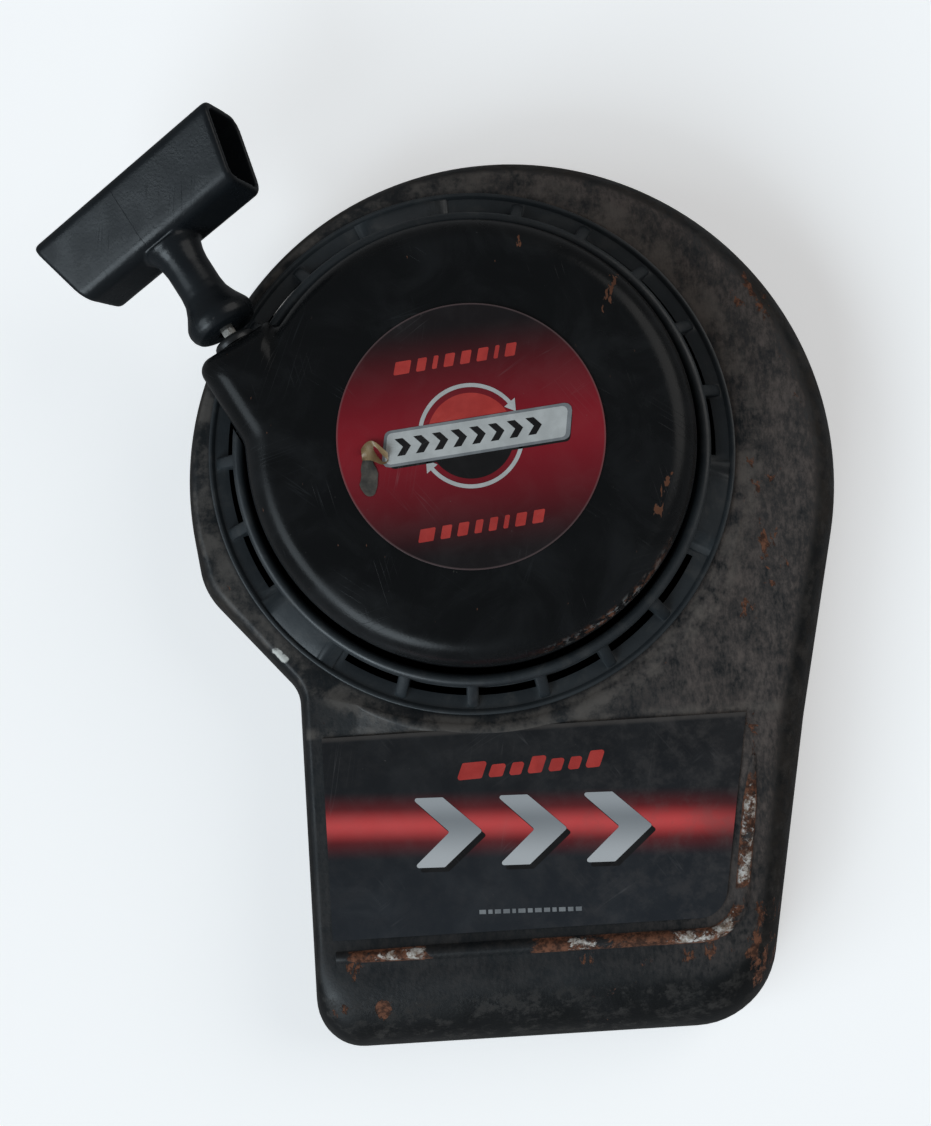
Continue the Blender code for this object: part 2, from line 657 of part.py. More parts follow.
def guide_slot(clearance):
    """The cam slot that one peg runs in: its path, widened on both sides and rounded at both ends."""
    steps = 8
    path = [peg_in_guide(step / steps) for step in range(steps + 1)]
    half = PEG_RADIUS + clearance
    left, right = [], []
    for place, point in enumerate(path):
        ahead = path[min(place + 1, steps)] - path[max(place - 1, 0)]
        side = Vector((-ahead.y, ahead.x)).normalized() * half
        left.append(tuple(point + side))
        right.append(tuple(point - side))
    start = math.atan2(left[0][1] - path[0].y, left[0][0] - path[0].x)
    finish = math.atan2(right[-1][1] - path[-1].y, right[-1][0] - path[-1].x)
    first_end = arc(path[0], half, start + math.pi, start, 6)[1:-1]
    last_end = arc(path[-1], half, finish + math.pi, finish, 6)[1:-1]
    return prism(left + last_end + list(reversed(right)) + first_end, 0.040, 0.052)


def add_pawls(looks, rotor):
    pin = [
        (0.0042, 0.0502), (0.0042, PAWL_LOW - GAP), (0.0025, PAWL_LOW - GAP), (0.0025, 0.0610),
        (0.0020, 0.0615),
    ]
    for letter, angle in zip("ab", PAWL_ANGLES):
        place = (PIVOT_CIRCLE * math.cos(angle), PIVOT_CIRCLE * math.sin(angle), 0)
        solid(f"pawl_pivot_{letter}", *lathe(pin, 16, closed=False), looks["zinc"], rotor, place)
        axis = empty(f"pawl_axis_{letter}", place, rotor, (0, 0, angle + PAWL_REST))
        pawl = solid(f"pawl_{letter}", *pawl_shape(), looks["pawl"], axis)
        eye = lathe([(0.0028, 0.0490), (0.0028, 0.0580)], 16, closed=False)
        boolean(pawl, "DIFFERENCE", eye, f"pawl_eye_helper_{letter}", axis)
        peg = lathe([(PEG_RADIUS, 0.0453), (PEG_RADIUS, 0.0530)], 12, closed=False)
        boolean(pawl, "UNION", moved(peg, (PEG_REACH, 0, 0)), f"pawl_peg_helper_{letter}", axis)


def add_guide_plate(looks, rotor):
    bore = SPIGOT_RADIUS + GAP
    profile = [
        (bore, GUIDE_Z), (GUIDE_RADIUS - 0.0007, GUIDE_Z), (GUIDE_RADIUS, GUIDE_Z + 0.0007),
        (GUIDE_RADIUS, GUIDE_Z + GUIDE_THICK), (bore, GUIDE_Z + GUIDE_THICK),
    ]
    plate = solid("pawl_guide_plate", *lathe(profile, 36), looks["guide"], rotor)
    slots = merged([turned(guide_slot(0.0007), angle) for angle in PAWL_ANGLES])
    boolean(plate, "DIFFERENCE", slots, "cam_slot_helper", rotor)


# ---- Rope lead and grip ----------------------------------------------------------------------

def add_rope_lead(looks, spin):
    """The free stretch of rope, from where it leaves the winding to its knot in the grip."""
    end = NOSE_START + GRIP_SEAT + GAP + WASHER_THICK
    profile = [(ROPE_RADIUS, 0.0224), (ROPE_RADIUS, end)]
    solid("rope_lead", *along_pull(lathe(profile, 14, closed=False)), looks["rope"], spin)


def bar_section(wall):
    """The grip bar's cross-section as (pull, height) pairs."""
    near, far = GRIP_INNER + wall, GRIP_OUTER - wall
    top = GRIP_HALF_HEIGHT - wall
    bend = GRIP_INNER_BEND if wall else GRIP_BEND
    corners = [(far, -top), (far, top), (near, top), (near, -top)]
    found = []
    for place, corner in enumerate(corners):
        found.extend(fillet(corners[place - 1], corner, corners[(place + 1) % 4], bend, 4))
    return found


def bar_ring(section, share, shrink=1.0):
    """One ring across the bar; share runs from -1 at one end to 1 at the other."""
    middle = (GRIP_INNER + GRIP_OUTER) / 2
    ring = []
    for pull, height in section:
        pull = middle + (pull - middle) * shrink + height * shrink * GRIP_RAKE
        slant = (pull - GRIP_INNER) / (GRIP_OUTER - GRIP_INNER)
        half = GRIP_HALF_INNER + (GRIP_HALF_OUTER - GRIP_HALF_INNER) * slant
        ring.append((half * share, pull, height * shrink))
    return ring


def add_grip(looks, rope_axis):
    """A hollow T grip: its bar is open at both ends, and its stem holds the rope."""
    outside, inside = bar_section(0.0), bar_section(GRIP_WALL)
    rings = [bar_ring(outside, share) for share in (-0.96, -0.5, 0, 0.5, 0.96)]
    rings = [bar_ring(outside, -1, 0.92)] + rings + [bar_ring(outside, 1, 0.92)]
    rings += [bar_ring(inside, share) for share in (1, 0.5, 0, -0.5, -1)]
    grip = solid("handle_grip", *loft(rings, closed=True), looks["grip"], rope_axis)

    stem = [
        (0.0080, 0.0), (0.0106, 0.0010), (0.0118, 0.0035), (0.0118, 0.0058), (0.0094, 0.0106),
        (0.0079, 0.0140), (0.0075, 0.0175), (0.0075, 0.0250), (0.0086, 0.0305), (0.0102, 0.0353),
        (0.0077, 0.0353), (0.0077, GRIP_SEAT),
    ]
    boolean(grip, "UNION", upright_to_pull(lathe(stem, 28, closed=False)), "grip_stem_helper", rope_axis)
    bore = lathe([(GRIP_BORE, -0.002), (GRIP_BORE, 0.0450)], 16, closed=False)
    boolean(grip, "DIFFERENCE", upright_to_pull(bore), "grip_bore_helper", rope_axis)

    low, high = GRIP_SEAT + GAP, GRIP_SEAT + GAP + WASHER_THICK
    washer = [(0.0027, low), (0.0068, low), (0.0068, high), (0.0027, high)]
    solid("handle_washer", *upright_to_pull(lathe(washer, 20)), looks["zinc"], rope_axis)


def upright_to_pull(shape):
    """Turns a shape made about Z so that its axis runs along the grip's local +Y."""
    points, faces = shape
    return [(x, z, -y) for x, y, z in points], faces


def add_end_knot(looks, rope_axis):
    start = GRIP_SEAT + WASHER_THICK + 3 * GAP
    profile = [(0.0030, start), (0.0050, start + 0.0018), (0.0057, start + 0.0045)]
    profile += [(0.0050, start + 0.0072), (0.0028, start + 0.0090)]
    shape = upright_to_pull(lathe(profile, 16, closed=False))
    solid("rope_end_knot", *shape, looks["rope"], rope_axis)


# ---- Labels ----------------------------------------------------------------------------------

def add_labels(looks, spin):
    low = CUP_TOP_Z + GAP
    disc = lathe([(ROUND_LABEL_RADIUS, low), (ROUND_LABEL_RADIUS, low + LABEL_THICK)], 64, closed=False)
    solid("round_label", *disc, looks["label"], spin)
    left_bottom, left_top = (PANEL_LEFT, PANEL_BOTTOM), (PANEL_LEFT, PANEL_TOP)
    right_bottom, right_top = (PANEL_LOWER_RIGHT, PANEL_BOTTOM), (PANEL_UPPER_RIGHT, PANEL_TOP)
    outline = [right_top, left_top, left_bottom]
    outline += fillet(left_bottom, right_bottom, right_top, PANEL_BEND, 5)
    low = FACE_Z + GAP
    solid("panel_label", *prism(outline, low, low + LABEL_THICK), looks["label"], spin)


# ---- Assembly --------------------------------------------------------------------------------

def main():
    clear_scene()
    looks = {
        "shroud": material("shroud_black_paint", (0.020, 0.018, 0.017), 0.55),
        "cup": material("cup_black_paint", (0.012, 0.012, 0.013), 0.38),
        "ring": material("ring_black_plastic", (0.022, 0.024, 0.028), 0.42),
        "grip": material("grip_black_plastic", (0.015, 0.015, 0.016), 0.36),
        "nylon": material("eyelet_black_nylon", (0.020, 0.020, 0.021), 0.45),
        "pulley": material("pulley_grey_nylon", (0.30, 0.30, 0.29), 0.50),
        "guide": material("guide_plate_steel", (0.45, 0.45, 0.46), 0.40, 1.0),
        "pawl": material("pawl_steel", (0.38, 0.38, 0.39), 0.38, 1.0),
        "steel": material("turned_steel", (0.52, 0.52, 0.54), 0.32, 1.0),
        "zinc": material("zinc_plated_steel", (0.60, 0.60, 0.58), 0.35, 1.0),
        "spring": material("blue_spring_steel", (0.16, 0.18, 0.22), 0.30, 1.0),
        "rope": material("rope_off_white", (0.62, 0.60, 0.55), 0.85),
        "label": material("label_dark_red", (0.22, 0.010, 0.016), 0.40),
    }
    spin = empty("starter_axis", (SPIN_X, SPIN_Y, 0))
    rotor = empty("pulley_axis", (0, 0, 0), spin)
    rope_foot = PULL * NOSE_START - ACROSS * ROPE_LINE + Vector((0, 0, ROPE_Z))
    rope_axis = empty("rope_axis", rope_foot, spin, (0, 0, PULL_ANGLE - math.pi / 2))
    twist = empty("grip_twist", (0, 0, 0), rope_axis, (0, GRIP_TWIST, 0))

    add_shroud(looks, spin)
    add_intake_ring(looks, spin)
    add_cup(looks, spin)
    add_rivets(looks, spin)
    add_eyelet(looks, spin)
    add_post(looks, spin)
    add_centre_stack(looks, spin)
    add_pulley(looks, rotor)
    add_wound_rope(looks, rotor)
    add_recoil_spring(looks, spin)
    add_pawls(looks, rotor)
    add_guide_plate(looks, rotor)
    add_rope_lead(looks, spin)
    add_grip(looks, twist)
    add_end_knot(looks, rope_axis)
    add_labels(looks, spin)


main()
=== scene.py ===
"""Looks of the recoil starter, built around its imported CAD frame. Metres, +Z up."""

from math import acos, atan2, cos, pi, radians, sin, tan

import bmesh
import bpy
from mathutils import Matrix, Vector


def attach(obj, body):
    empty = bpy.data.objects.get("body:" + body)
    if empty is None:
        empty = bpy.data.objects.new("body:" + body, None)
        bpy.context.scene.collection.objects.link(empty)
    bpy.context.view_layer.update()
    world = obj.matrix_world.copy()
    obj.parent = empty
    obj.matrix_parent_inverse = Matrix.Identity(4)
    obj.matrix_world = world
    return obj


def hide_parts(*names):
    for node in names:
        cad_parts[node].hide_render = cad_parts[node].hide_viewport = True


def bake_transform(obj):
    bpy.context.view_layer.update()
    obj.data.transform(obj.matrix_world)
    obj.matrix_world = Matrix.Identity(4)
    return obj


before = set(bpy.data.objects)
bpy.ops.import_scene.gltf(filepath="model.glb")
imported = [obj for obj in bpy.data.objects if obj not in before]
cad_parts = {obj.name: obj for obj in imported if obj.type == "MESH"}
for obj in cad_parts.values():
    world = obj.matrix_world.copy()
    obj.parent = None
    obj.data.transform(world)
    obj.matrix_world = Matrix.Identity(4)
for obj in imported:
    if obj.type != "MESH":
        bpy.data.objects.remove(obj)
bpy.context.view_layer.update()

# ---- Dimensions shared with the CAD part ----

SPIN = Vector((0.0074, 0.04454, 0))  # the starter's spin axis; shapes below are built about it
GAP = 0.0003
SHEET, CUP_SHEET = 0.0015, 0.0014
PULL_ANGLE = radians(119)
PULL = Vector((cos(PULL_ANGLE), sin(PULL_ANGLE), 0))
ACROSS = Vector((sin(PULL_ANGLE), -cos(PULL_ANGLE), 0))

FACE_Z = 0.045
RIM_CENTER, RIM_RADIUS = (0.0143, -0.0084), 0.1146
RIM_LEFT, RIM_CORNER_X = -0.0656, 0.0901
RIM_BOTTOM, FACE_BOTTOM = -0.2035, -0.169
FACE_CENTER, FACE_RADIUS, FACE_LEFT = (0.0086, -0.009), 0.103, -0.06
FACE_CORNER_X, FACE_BEND_X, FACE_BEND_Y = 0.0801, 0.0916, -0.097
RIDGE_HEIGHT, RIDGE_WIDTH, RIDGE_INSET = 0.0022, 0.0052, 0.0015
LAND_RADIUS, LAND_WIDTH, LAND_HEIGHT = 0.0948, 0.006, 0.0011
EAR_REACH, EAR_HALF, EAR_HOLE = 0.0155, 0.009, 0.0035

RING_OUTER, RING_TOP_Z, RING_FLOOR = 0.0899, 0.058, 0.0465
BEAD_INNER, BEAD_OUTER, SLOT_INNER, SLOT_OUTER = 0.0764, 0.0804, 0.0807, 0.0832
SLOT_LOW, SLOT_HIGH = 0.044, 0.048
VENT_GROUPS, SLOTS_PER_GROUP = 3, 6
PLAIN_ANGLE, FIRST_PLAIN = radians(21.8), radians(-17)

CUP_RADIUS, CUP_TOP_Z, CUP_FOOT_Z, CUP_EDGE = 0.0742, 0.078, 0.042, 0.0115
LUG_LEFT, LUG_RIGHT, LUG_FRONT, LUG_FLOOR_Z = -0.0632, -0.0345, 0.07, 0.05
RIVET_CIRCLE = 0.0837

ROPE_RADIUS, ROPE_Z, ROPE_LINE, ROPE_START = 0.0022, 0.0615, 0.048, 0.0224
CORE_RADIUS, GROOVE_LOW, GROOVE_HIGH = 0.0279, 0.0585, 0.0645

NOSE_START, GRIP_TWIST = 0.076, radians(-22)
GRIP_INNER, GRIP_OUTER = 0.034, 0.0615
GRIP_HALF_HEIGHT, GRIP_WALL = 0.011, 0.0025
GRIP_HALF_INNER, GRIP_HALF_OUTER = 0.0333, 0.0403
GRIP_RAKE, GRIP_SEAT = 0.19, 0.0383

LABEL_RADIUS, LABEL_THICK, PRINT_THICK = 0.0435, 0.0004, 0.00005
LABEL_Z, PANEL_Z = CUP_TOP_Z + GAP, FACE_Z + GAP


# ---- Materials ----

def arithmetic(operation, swapped=False):
    """A method of Field that adds one math node."""
    def method(self, other=0):
        pair = (other, self) if swapped else (self, other)
        return self.look.node("Math", 0, dict(enumerate(pair)), operation=operation)
    return method


class Field:
    """A value that varies over a surface: one node's output. Arithmetic with it adds nodes."""

    __add__ = arithmetic("ADD")
    __sub__ = arithmetic("SUBTRACT")
    __rsub__ = __neg__ = arithmetic("SUBTRACT", swapped=True)
    __mul__ = arithmetic("MULTIPLY")
    __or__ = arithmetic("MAXIMUM")
    __abs__ = arithmetic("ABSOLUTE")

    def __init__(self, look, socket):
        self.look = look
        self.socket = socket

    def step(self, low, high, start=0, end=1):
        """Smooth passage from start to end as this value goes from low to high."""
        limits = {"Value": self, "From Min": low, "From Max": high, "To Min": start, "To Max": end}
        return self.look.node("MapRange", "Result", limits, interpolation_type="SMOOTHSTEP", clamp=True)

    def fade(self, low, high):
        """1 up to low, falling smoothly to 0 at high."""
        return self.step(low, high, 1, 0)

    def between(self, first, last, soft):
        """1 between two values, fading out over a soft length at both."""
        return self.step(first - soft, first + soft) * self.step(last + soft, last - soft)


def most(fields):
    """The largest of several fields."""
    found = fields[0]
    for field in fields[1:]:
        found = found | field
    return found


class Look:
    """A node material; colours are given in thousandths and laid one over another, like relief."""

    def __init__(self, name, color, specular=0.5, metallic=0):
        self.made = bpy.data.materials.new(name)
        self.made.use_nodes = True
        self.tree = self.made.node_tree
        self.shader = self.tree.nodes["Principled BSDF"]
        self.place = self.node("TexCoord", "Object", {})
        self.color = color
        self.relief = None
        self.set("Specular IOR Level", specular)
        self.set("Metallic", metallic)

    def feed(self, socket, value):
        """Links a field to a socket, or sets the socket to a number, a vector or a colour."""
        if isinstance(value, Field):
            self.tree.links.new(value.socket, socket)
        elif socket.type == "RGBA":
            socket.default_value = (*[part * 0.001 for part in value], 1)
        else:
            socket.default_value = value

    def node(self, kind, output, inputs, **settings):
        """Adds a node and feeds its inputs: returns the field of one output."""
        made = self.tree.nodes.new("ShaderNode" + kind)
        for name, value in settings.items():
            setattr(made, name, value)
        for name, value in inputs.items():
            self.feed(made.inputs[name], value)
        return Field(self, made.outputs[output])

    def set(self, name, value):
        self.feed(self.shader.inputs[name], value)

    def noise(self, scale, detail=4, rough=0.55, stretch=(1, 1, 1), twist=0, place=None):
        """Noise from 0 to 1, with its scale in cells per metre."""
        place = self.node("Mapping", 0, {"Vector": place or self.place, "Scale": stretch})
        return self.node("TexNoise", "Fac", {"Vector": place, "Scale": scale, "Detail": detail,
                                             "Roughness": rough, "Distortion": twist})

    def mix(self, share, first, second):
        """Mixes two colours."""
        return self.node("Mix", 2, {"Factor": share, 6: first, 7: second}, data_type="RGBA")

    def paint(self, share, color):
        """Lays a colour over the colours so far, by a share from 0 to 1."""
        self.color = self.mix(share, self.color, color)
        self.set("Base Color", self.color)

    def bump(self, height, depth, strength):
        """Adds relief of a depth in millimetres to the relief so far."""
        inputs = {"Height": height, "Distance": depth * 0.001, "Strength": strength}
        if self.relief:
            inputs["Normal"] = self.relief
        self.relief = self.node("Bump", 0, inputs)
        self.set("Normal", self.relief)

    def axis(self, name, origin=0):
        """The place along one axis, in millimetres from an origin."""
        return (self.node("SeparateXYZ", name, {0: self.place}) - origin) * 1000

    def about_spin(self, level=0):
        """The place on the surface about the spin axis and above a level, in millimetres."""
        return self.axis("X", SPIN.x), self.axis("Y", SPIN.y), self.axis("Z", level)

    def distance(self, x, y):
        """Distance in plan from a point about the spin axis, all in millimetres."""
        flat = self.node("VectorMath", 0, {0: self.place, 1: (1, 1, 0)}, operation="MULTIPLY")
        spot = (x * 0.001 + SPIN.x, y * 0.001 + SPIN.y, 0)
        return self.node("VectorMath", "Value", {0: flat, 1: spot}, operation="DISTANCE") * 1000

    def near(self, x, y, radius):
        """1 at a point given about the spin axis, fading to 0 at a radius."""
        return self.distance(x, y).fade(0, radius)

    def scratches(self, scale, width, turns):
        """Thin straight scratches in several directions, 1 on a scratch."""
        found = []
        for number, turn in enumerate(turns):
            spun = self.node("Mapping", 0, {"Vector": self.place, "Rotation": (0, 0, turn)})
            lines = self.noise(scale, 1, 0.4, (1, 0.025, 0.2), place=spun)
            where = self.noise(28 + 9 * number, 2).step(0.56, 0.7)
            found.append(abs(lines - 0.5).fade(0, width) * where)
        return most(found)


RUST_DARK, RUST_BRIGHT = (50, 20, 11), (205, 80, 42)


def crest_wear(look, x, y, z):
    """Rust and bare metal along the crest: returns the two masks."""
    foot = z.step(0.05, 0.5)
    crown = z.step(0.6, 1.3)
    lower_run = y.step(-150, -158)
    side_run = 1 - lower_run
    outside = y.step(-96, -104)

    rusty = [x.between(*ends, 8) for ends in ((-57, -21.5), (6, 82))]
    shiny = [x.between(*ends, 5) for ends in ((-46, -23.5), (19.5, 33), (51, 80))]
    rust_place = lower_run * most(rusty) | side_run * y.between(-180, -112, 6)
    bare_place = lower_run * most(shiny) | side_run * y.between(-162, -114, 8)
    ragged = look.noise(260, 6, 0.76, (0.6, 0.8, 1), 0.3)
    other = look.noise(150, 6, 0.72, (0.6, 0.8, 1), 0.4)
    rust = foot * outside * (rust_place * 0.5 + other).step(0.9, 0.985)
    bare = crown * outside * (bare_place * 0.5 + ragged).step(0.975, 1.06)
    return rust, bare


def shroud_paint():
    """Worn black paint: dusty on the face, brown on the walls and darkened there by painted shade, chipped
    and rusty on the crest, with a painted highlight at the left notch.
    """
    look = Look("shroud_black_paint", (8.8, 11, 12.8), 0.3)
    x, y, z = look.about_spin(FACE_Z)
    look.paint(look.noise(22).step(0.35, 0.7), (12.5, 15, 17))

    flat = z.step(-2.8, -0.5)
    cloudy = look.noise(85, 6, 0.7)
    grain = look.noise(700, 4, 0.7, (1, 0.45, 1))
    right = (x - 10 + (y + 80) * 0.25).step(0, 80)
    dust = (cloudy * 0.5 + grain * 0.5).step(0.34, 0.68) * flat * (right * 0.9 + 0.17)
    look.paint(dust, (118, 96, 86))
    # Pale lines over the embossed land round the ring and above the panel's top edge: dust lying there, and
    # a painted highlight that makes these raised edges stand out.
    out = look.distance(0, 0)
    lines = out.step(101, 97.5) * out.step(89.5, 91.5) | y.step(-95.2, -93.8) * y.step(-90, -93)
    look.paint(lines * flat * cloudy.step(0.4, 0.62) * 0.55, (135, 118, 104))

    wall = 1 - flat
    # Painted shade: the sloping walls are painted darker than the face.
    look.paint(wall * 0.9, (4, 4.3, 4.6))
    sides = y.step(10, 85) | x.step(-60, -88) | x.step(70, 105)
    brown = wall * sides * cloudy.step(0.36, 0.64) * 0.6
    look.paint(brown, (36, 27, 20))
    mottle = wall * look.noise(150, 6, 0.76).step(0.46, 0.66) * 0.6
    look.paint(mottle, (43, 38, 34))
    look.paint(look.noise(420, 4, 0.6).step(0.7, 0.8) * 0.35, (120, 105, 90))

    # Each rusty spot's place about the spin axis and reach in millimetres, and how rusty it is.
    spots = [
        (101, 48, 18, 0.9), (111, 20, 13, 0.5), (98, -18, 15, 0.8), (100, -40, 20, 0.8), (91, -60, 10, 0.7),
        (90, -100, 12, 0.6), (86, -176, 17, 1.1), (90, -160, 14, 1), (46, -173, 8, 0.9), (13, 105, 18, 0.4),
        (-55, -185, 9, 1.1), (-41, -186, 7, 1), (-80, 52, 18, 0.35), (30, -190, 20, 0.5), (26, -171, 9, 0.8),
        (66, -173, 13, 1), (-50, -171, 8, 0.9),
    ]
    place = most([look.near(*spot) * share for *spot, share in spots])
    rust = (place * 0.22 + look.noise(190, 6, 0.68, (1, 0.55, 1), 0.4)).step(0.705, 0.745)
    crest_rust, bare = crest_wear(look, x, y, z)
    rust = rust | crest_rust
    look.paint(rust * 0.9, look.mix(look.noise(520, 4, 0.65).step(0.38, 0.64), RUST_DARK, RUST_BRIGHT))
    pale = look.mix(look.noise(480, 5, 0.7).step(0.35, 0.62), (260, 190, 140), (720, 690, 650))
    look.paint(bare, pale)

    # A short pale streak at the notch in the left wall is a painted highlight of the glossy edge.
    from_x, from_y = x + 69, y + 65.5
    glint_streak = abs(from_x * 0.75 + from_y * 0.66).step(2.2, 0.6)
    glint_streak = glint_streak * abs(from_x * 0.66 - from_y * 0.75).step(5.2, 1.8)
    look.paint((glint_streak * 0.6 + look.noise(400, 4, 0.6)).step(0.8, 1.05), (620, 610, 570))

    look.set("Metallic", bare * 0.35)
    roughness = (dust * 1.6 | rust | brown | mottle).step(0, 0.8, 0.4, 0.86)
    look.set("Roughness", roughness + look.noise(60, 3).step(0.35, 0.7, -0.05, 0.09))
    look.bump(look.noise(34, 2, 0.4), 1.4, 0.3)
    look.bump(look.noise(900, 3, 0.6), 0.12, 0.6)
    look.bump(-rust, 0.18, 0.7)
    return look


def cup_paint():
    """Satin black paint with smudges, hairline scratches and a few chips down to rust."""
    look = Look("cup_satin_black_paint", (5.8, 6.3, 6.8), 0.22)
    x, y, z = look.about_spin(CUP_TOP_Z)
    smudge = look.noise(38, 5, 0.6, twist=0.8)
    look.paint(smudge.step(0.4, 0.72), (12, 12.8, 13.8))
    cuts = look.scratches(330, 0.012, (0.4, 1.3, 2.2, 2.9))
    look.paint(cuts * 0.14, (60, 65, 70))
    dots = look.noise(650, 3, 0.6).step(0.735, 0.79) * 0.5
    look.paint(dots, (90, 85, 75))

    flakes = []
    for left, low, long, wide in ((60.5, -22.5, 9, 2.2), (47.5, 44, 10, 2.2), (20, 64, 4, 1.5)):
        lengthwise = abs((x - left) * 0.34 + (y - low) * 0.94)
        sideways = abs((x - left) * 0.94 - (y - low) * 0.34)
        flakes.append(lengthwise.step(long, long * 0.6) * sideways.step(wide, wide * 0.4))
    chip = (most(flakes) * 0.25 + look.noise(560, 3, 0.6, (1, 0.4, 1), 0.2)).step(0.735, 0.76)

    # The lower right edge is rubbed through to rust and, on its crown, to metal.
    rubbed = look.near(43, -57, 36) * look.distance(0, 0).step(71.2, 72.8)
    rubbed = rubbed * z.step(-9.5, -6.5)
    chip = chip | rubbed * look.noise(300, 5, 0.65).step(0.46, 0.58)
    look.paint(chip, look.mix(smudge, RUST_DARK, RUST_BRIGHT))
    look.paint(rubbed * look.noise(420, 4, 0.6).step(0.52, 0.6) * 0.6, (260, 260, 255))
    look.set("Roughness", smudge.step(0.3, 0.75, 0.22, 0.34) | (chip | dots) * 0.8 | cuts * 0.38)
    look.bump(look.noise(24, 2, 0.4), 1, 0.3)
    look.bump(look.noise(1100, 2, 0.5), 0.06, 0.5)
    look.bump(-(chip | cuts * 0.4), 0.12, 0.6)
    return look


def moulded_plastic(name, dark, light, roughness, dusty=0, specular=0.5):
    """Moulded plastic with a fine grain, faint tone changes and some dust."""
    look = Look(name, dark, specular)
    look.paint(look.noise(45, 4, 0.6).step(0.35, 0.7), light)
    look.paint(look.noise(560, 4, 0.6).step(0.7, 0.78) * 0.5, (110, 105, 100))
    if dusty:
        look.paint(look.noise(120, 5, 0.65, twist=0.5).step(0.5, 0.74) * dusty, (100, 95, 88))
    look.set("Roughness", look.noise(80, 3).step(0.3, 0.72, roughness - 0.05, roughness + 0.1))
    look.bump(look.noise(30, 2, 0.4), 0.8, 0.25)
    look.bump(look.noise(900, 3, 0.6), 0.1, 0.55)
    return look


def grip_plastic():
    """Satin black plastic with a faint mould line round the middle of the bar."""
    dark, light = (8.5, 10.5, 12.5), (11, 13.5, 16)
    look = moulded_plastic("grip_black_plastic", dark, light, 0.27, specular=0.3)
    line = abs(look.axis("X") + 4).fade(0, 0.22)
    top = look.axis("Z", GRIP_HALF_HEIGHT).step(-1.6, -0.8)
    look.bump(-(line * top), 0.06, 0.6)
    look.bump(-look.scratches(300, 0.01, (0.7, 2)), 0.05, 0.5)
    return look


def worn_metal(name, color, dull, roughness, stretch=(1, 1, 1), stain=0.35):
    """Bare or plated metal with fine working marks and darker stains."""
    look = Look(name, dull, metallic=1)
    marks = look.noise(700, 3, 0.6, stretch)
    stains = look.noise(140, 5, 0.62, twist=0.5).step(0.46, 0.7)
    look.paint(marks, color)
    look.paint(stains * stain, (100, 75, 55))
    look.set("Roughness", (marks * 0.5 + stains * 0.5).step(0.2, 0.8, roughness - 0.08, roughness + 0.22))
    look.bump(marks, 0.06, 0.6)
    return look


def turned_metal(name, color, dull, roughness, stain):
    """Metal turned on a lathe, with rings about its own axis."""
    look = Look(name, dull, metallic=1)
    rings = {"Vector": look.place, "Scale": 900, "Distortion": 1.5}
    marks = look.node("TexWave", "Fac", rings, wave_type="RINGS", rings_direction="Z")
    look.paint(marks, color)
    look.paint(look.noise(200, 5, 0.62, twist=0.4).step(0.48, 0.7) * stain, (90, 65, 45))
    look.set("Roughness", look.noise(260).step(0.3, 0.7, roughness - 0.06, roughness + 0.16))
    look.bump(marks, 0.04, 0.5)
    return look


def rope_fibre():
    """Off-white braided cord, a little grey with handling."""
    look = Look("rope_braided_cord", (360, 350, 330), 0.25)
    fibres = look.noise(1600, 3, 0.65, (1, 1, 0.4))
    look.paint(fibres, (660, 640, 600))
    look.paint(look.noise(170, 4, 0.6).step(0.42, 0.7) * 0.55, (160, 145, 125))
    look.set("Sheen Weight", 0.25)
    look.set("Roughness", fibres.step(0.3, 0.7, 0.8, 0.95))
    look.bump(fibres, 0.15, 0.8)
    return look


def film(look, wear=0.1):
    """Finish of a printed vinyl film: scuffs, dust specks and a slight waviness."""
    cuts = look.scratches(420, 0.01, (0.2, 1, 2.5))
    look.paint(cuts * wear, (350, 330, 330))
    look.paint(look.noise(900, 3, 0.6).step(0.74, 0.79) * 0.6, (300, 270, 250))
    smear = look.noise(70, 4, 0.6, twist=0.6).step(0.35, 0.7, 0.28, 0.44)
    look.set("Roughness", smear | cuts * 0.42)
    look.bump(look.noise(45, 2, 0.4), 0.6, 0.25)
    look.bump(look.noise(1300, 2, 0.5), 0.04, 0.4)
    return look


def round_label_film():
    """Dark at the top and bottom, glowing red across the middle, with a thin pale edge."""
    look = Look("round_label_film", (8.5, 6, 7))
    x, y, _ = look.about_spin()
    tilt_of_band = radians(3)
    height = y * cos(tilt_of_band) - x * sin(tilt_of_band)
    look.paint(height.step(-40, -4) * height.fade(4, 38), (235, 7.5, 16.5))
    look.paint(abs(height).fade(0, 13) * 0.35, (360, 12, 22))
    look.paint(look.distance(0, 0).step(42.8, 43.2) * 0.4, (200, 130, 130))
    return film(look)


def panel_label_film():
    """Charcoal film with a blurred red band across it, fading out to the right."""
    look = Look("panel_label_film", (19, 22.5, 28))
    x, y, _ = look.about_spin()
    look.paint(y.step(-160, -97), (10, 11, 13))
    off_band = abs(x * 0.045 + y + 126.5)
    look.paint(off_band.fade(0.5, 11.8) * 0.9, (270, 14, 17))
    look.paint(off_band.fade(0, 6.2) * 0.85, (860, 100, 98))
    look.paint(x.step(60, 84) * 0.45, (20, 19, 20))
    dusty = x.step(-10, 80) * 0.16 + 0.06
    look.paint(look.noise(110, 6, 0.72).step(0.42, 0.66) * dusty, (130, 115, 108))
    # A pale strip along the top edge: dust on the fold, and a painted highlight of the fold.
    look.paint(y.step(-96.4, -95) * 0.35, (130, 112, 100))
    return film(look, 0.08)


def print_ink(name, color, second, wear=0.1):
    """Ink of one printed shape, slightly uneven."""
    look = Look(name, color)
    look.paint(look.noise(160, 4, 0.6).step(0.35, 0.7), second)
    return film(look, wear)


def silver_ink():
    """Metallic-looking ink, pale above and grey below the middle."""
    look = Look("silver_chevron_ink", (600, 610, 620))
    x, y, _ = look.about_spin()
    height = x * 0.04 + y + 128.5
    look.paint(height.step(-10, 4), (300, 315, 330))
    look.paint(height.step(3, 10.5), (460, 475, 490))
    return film(look, 0.2)


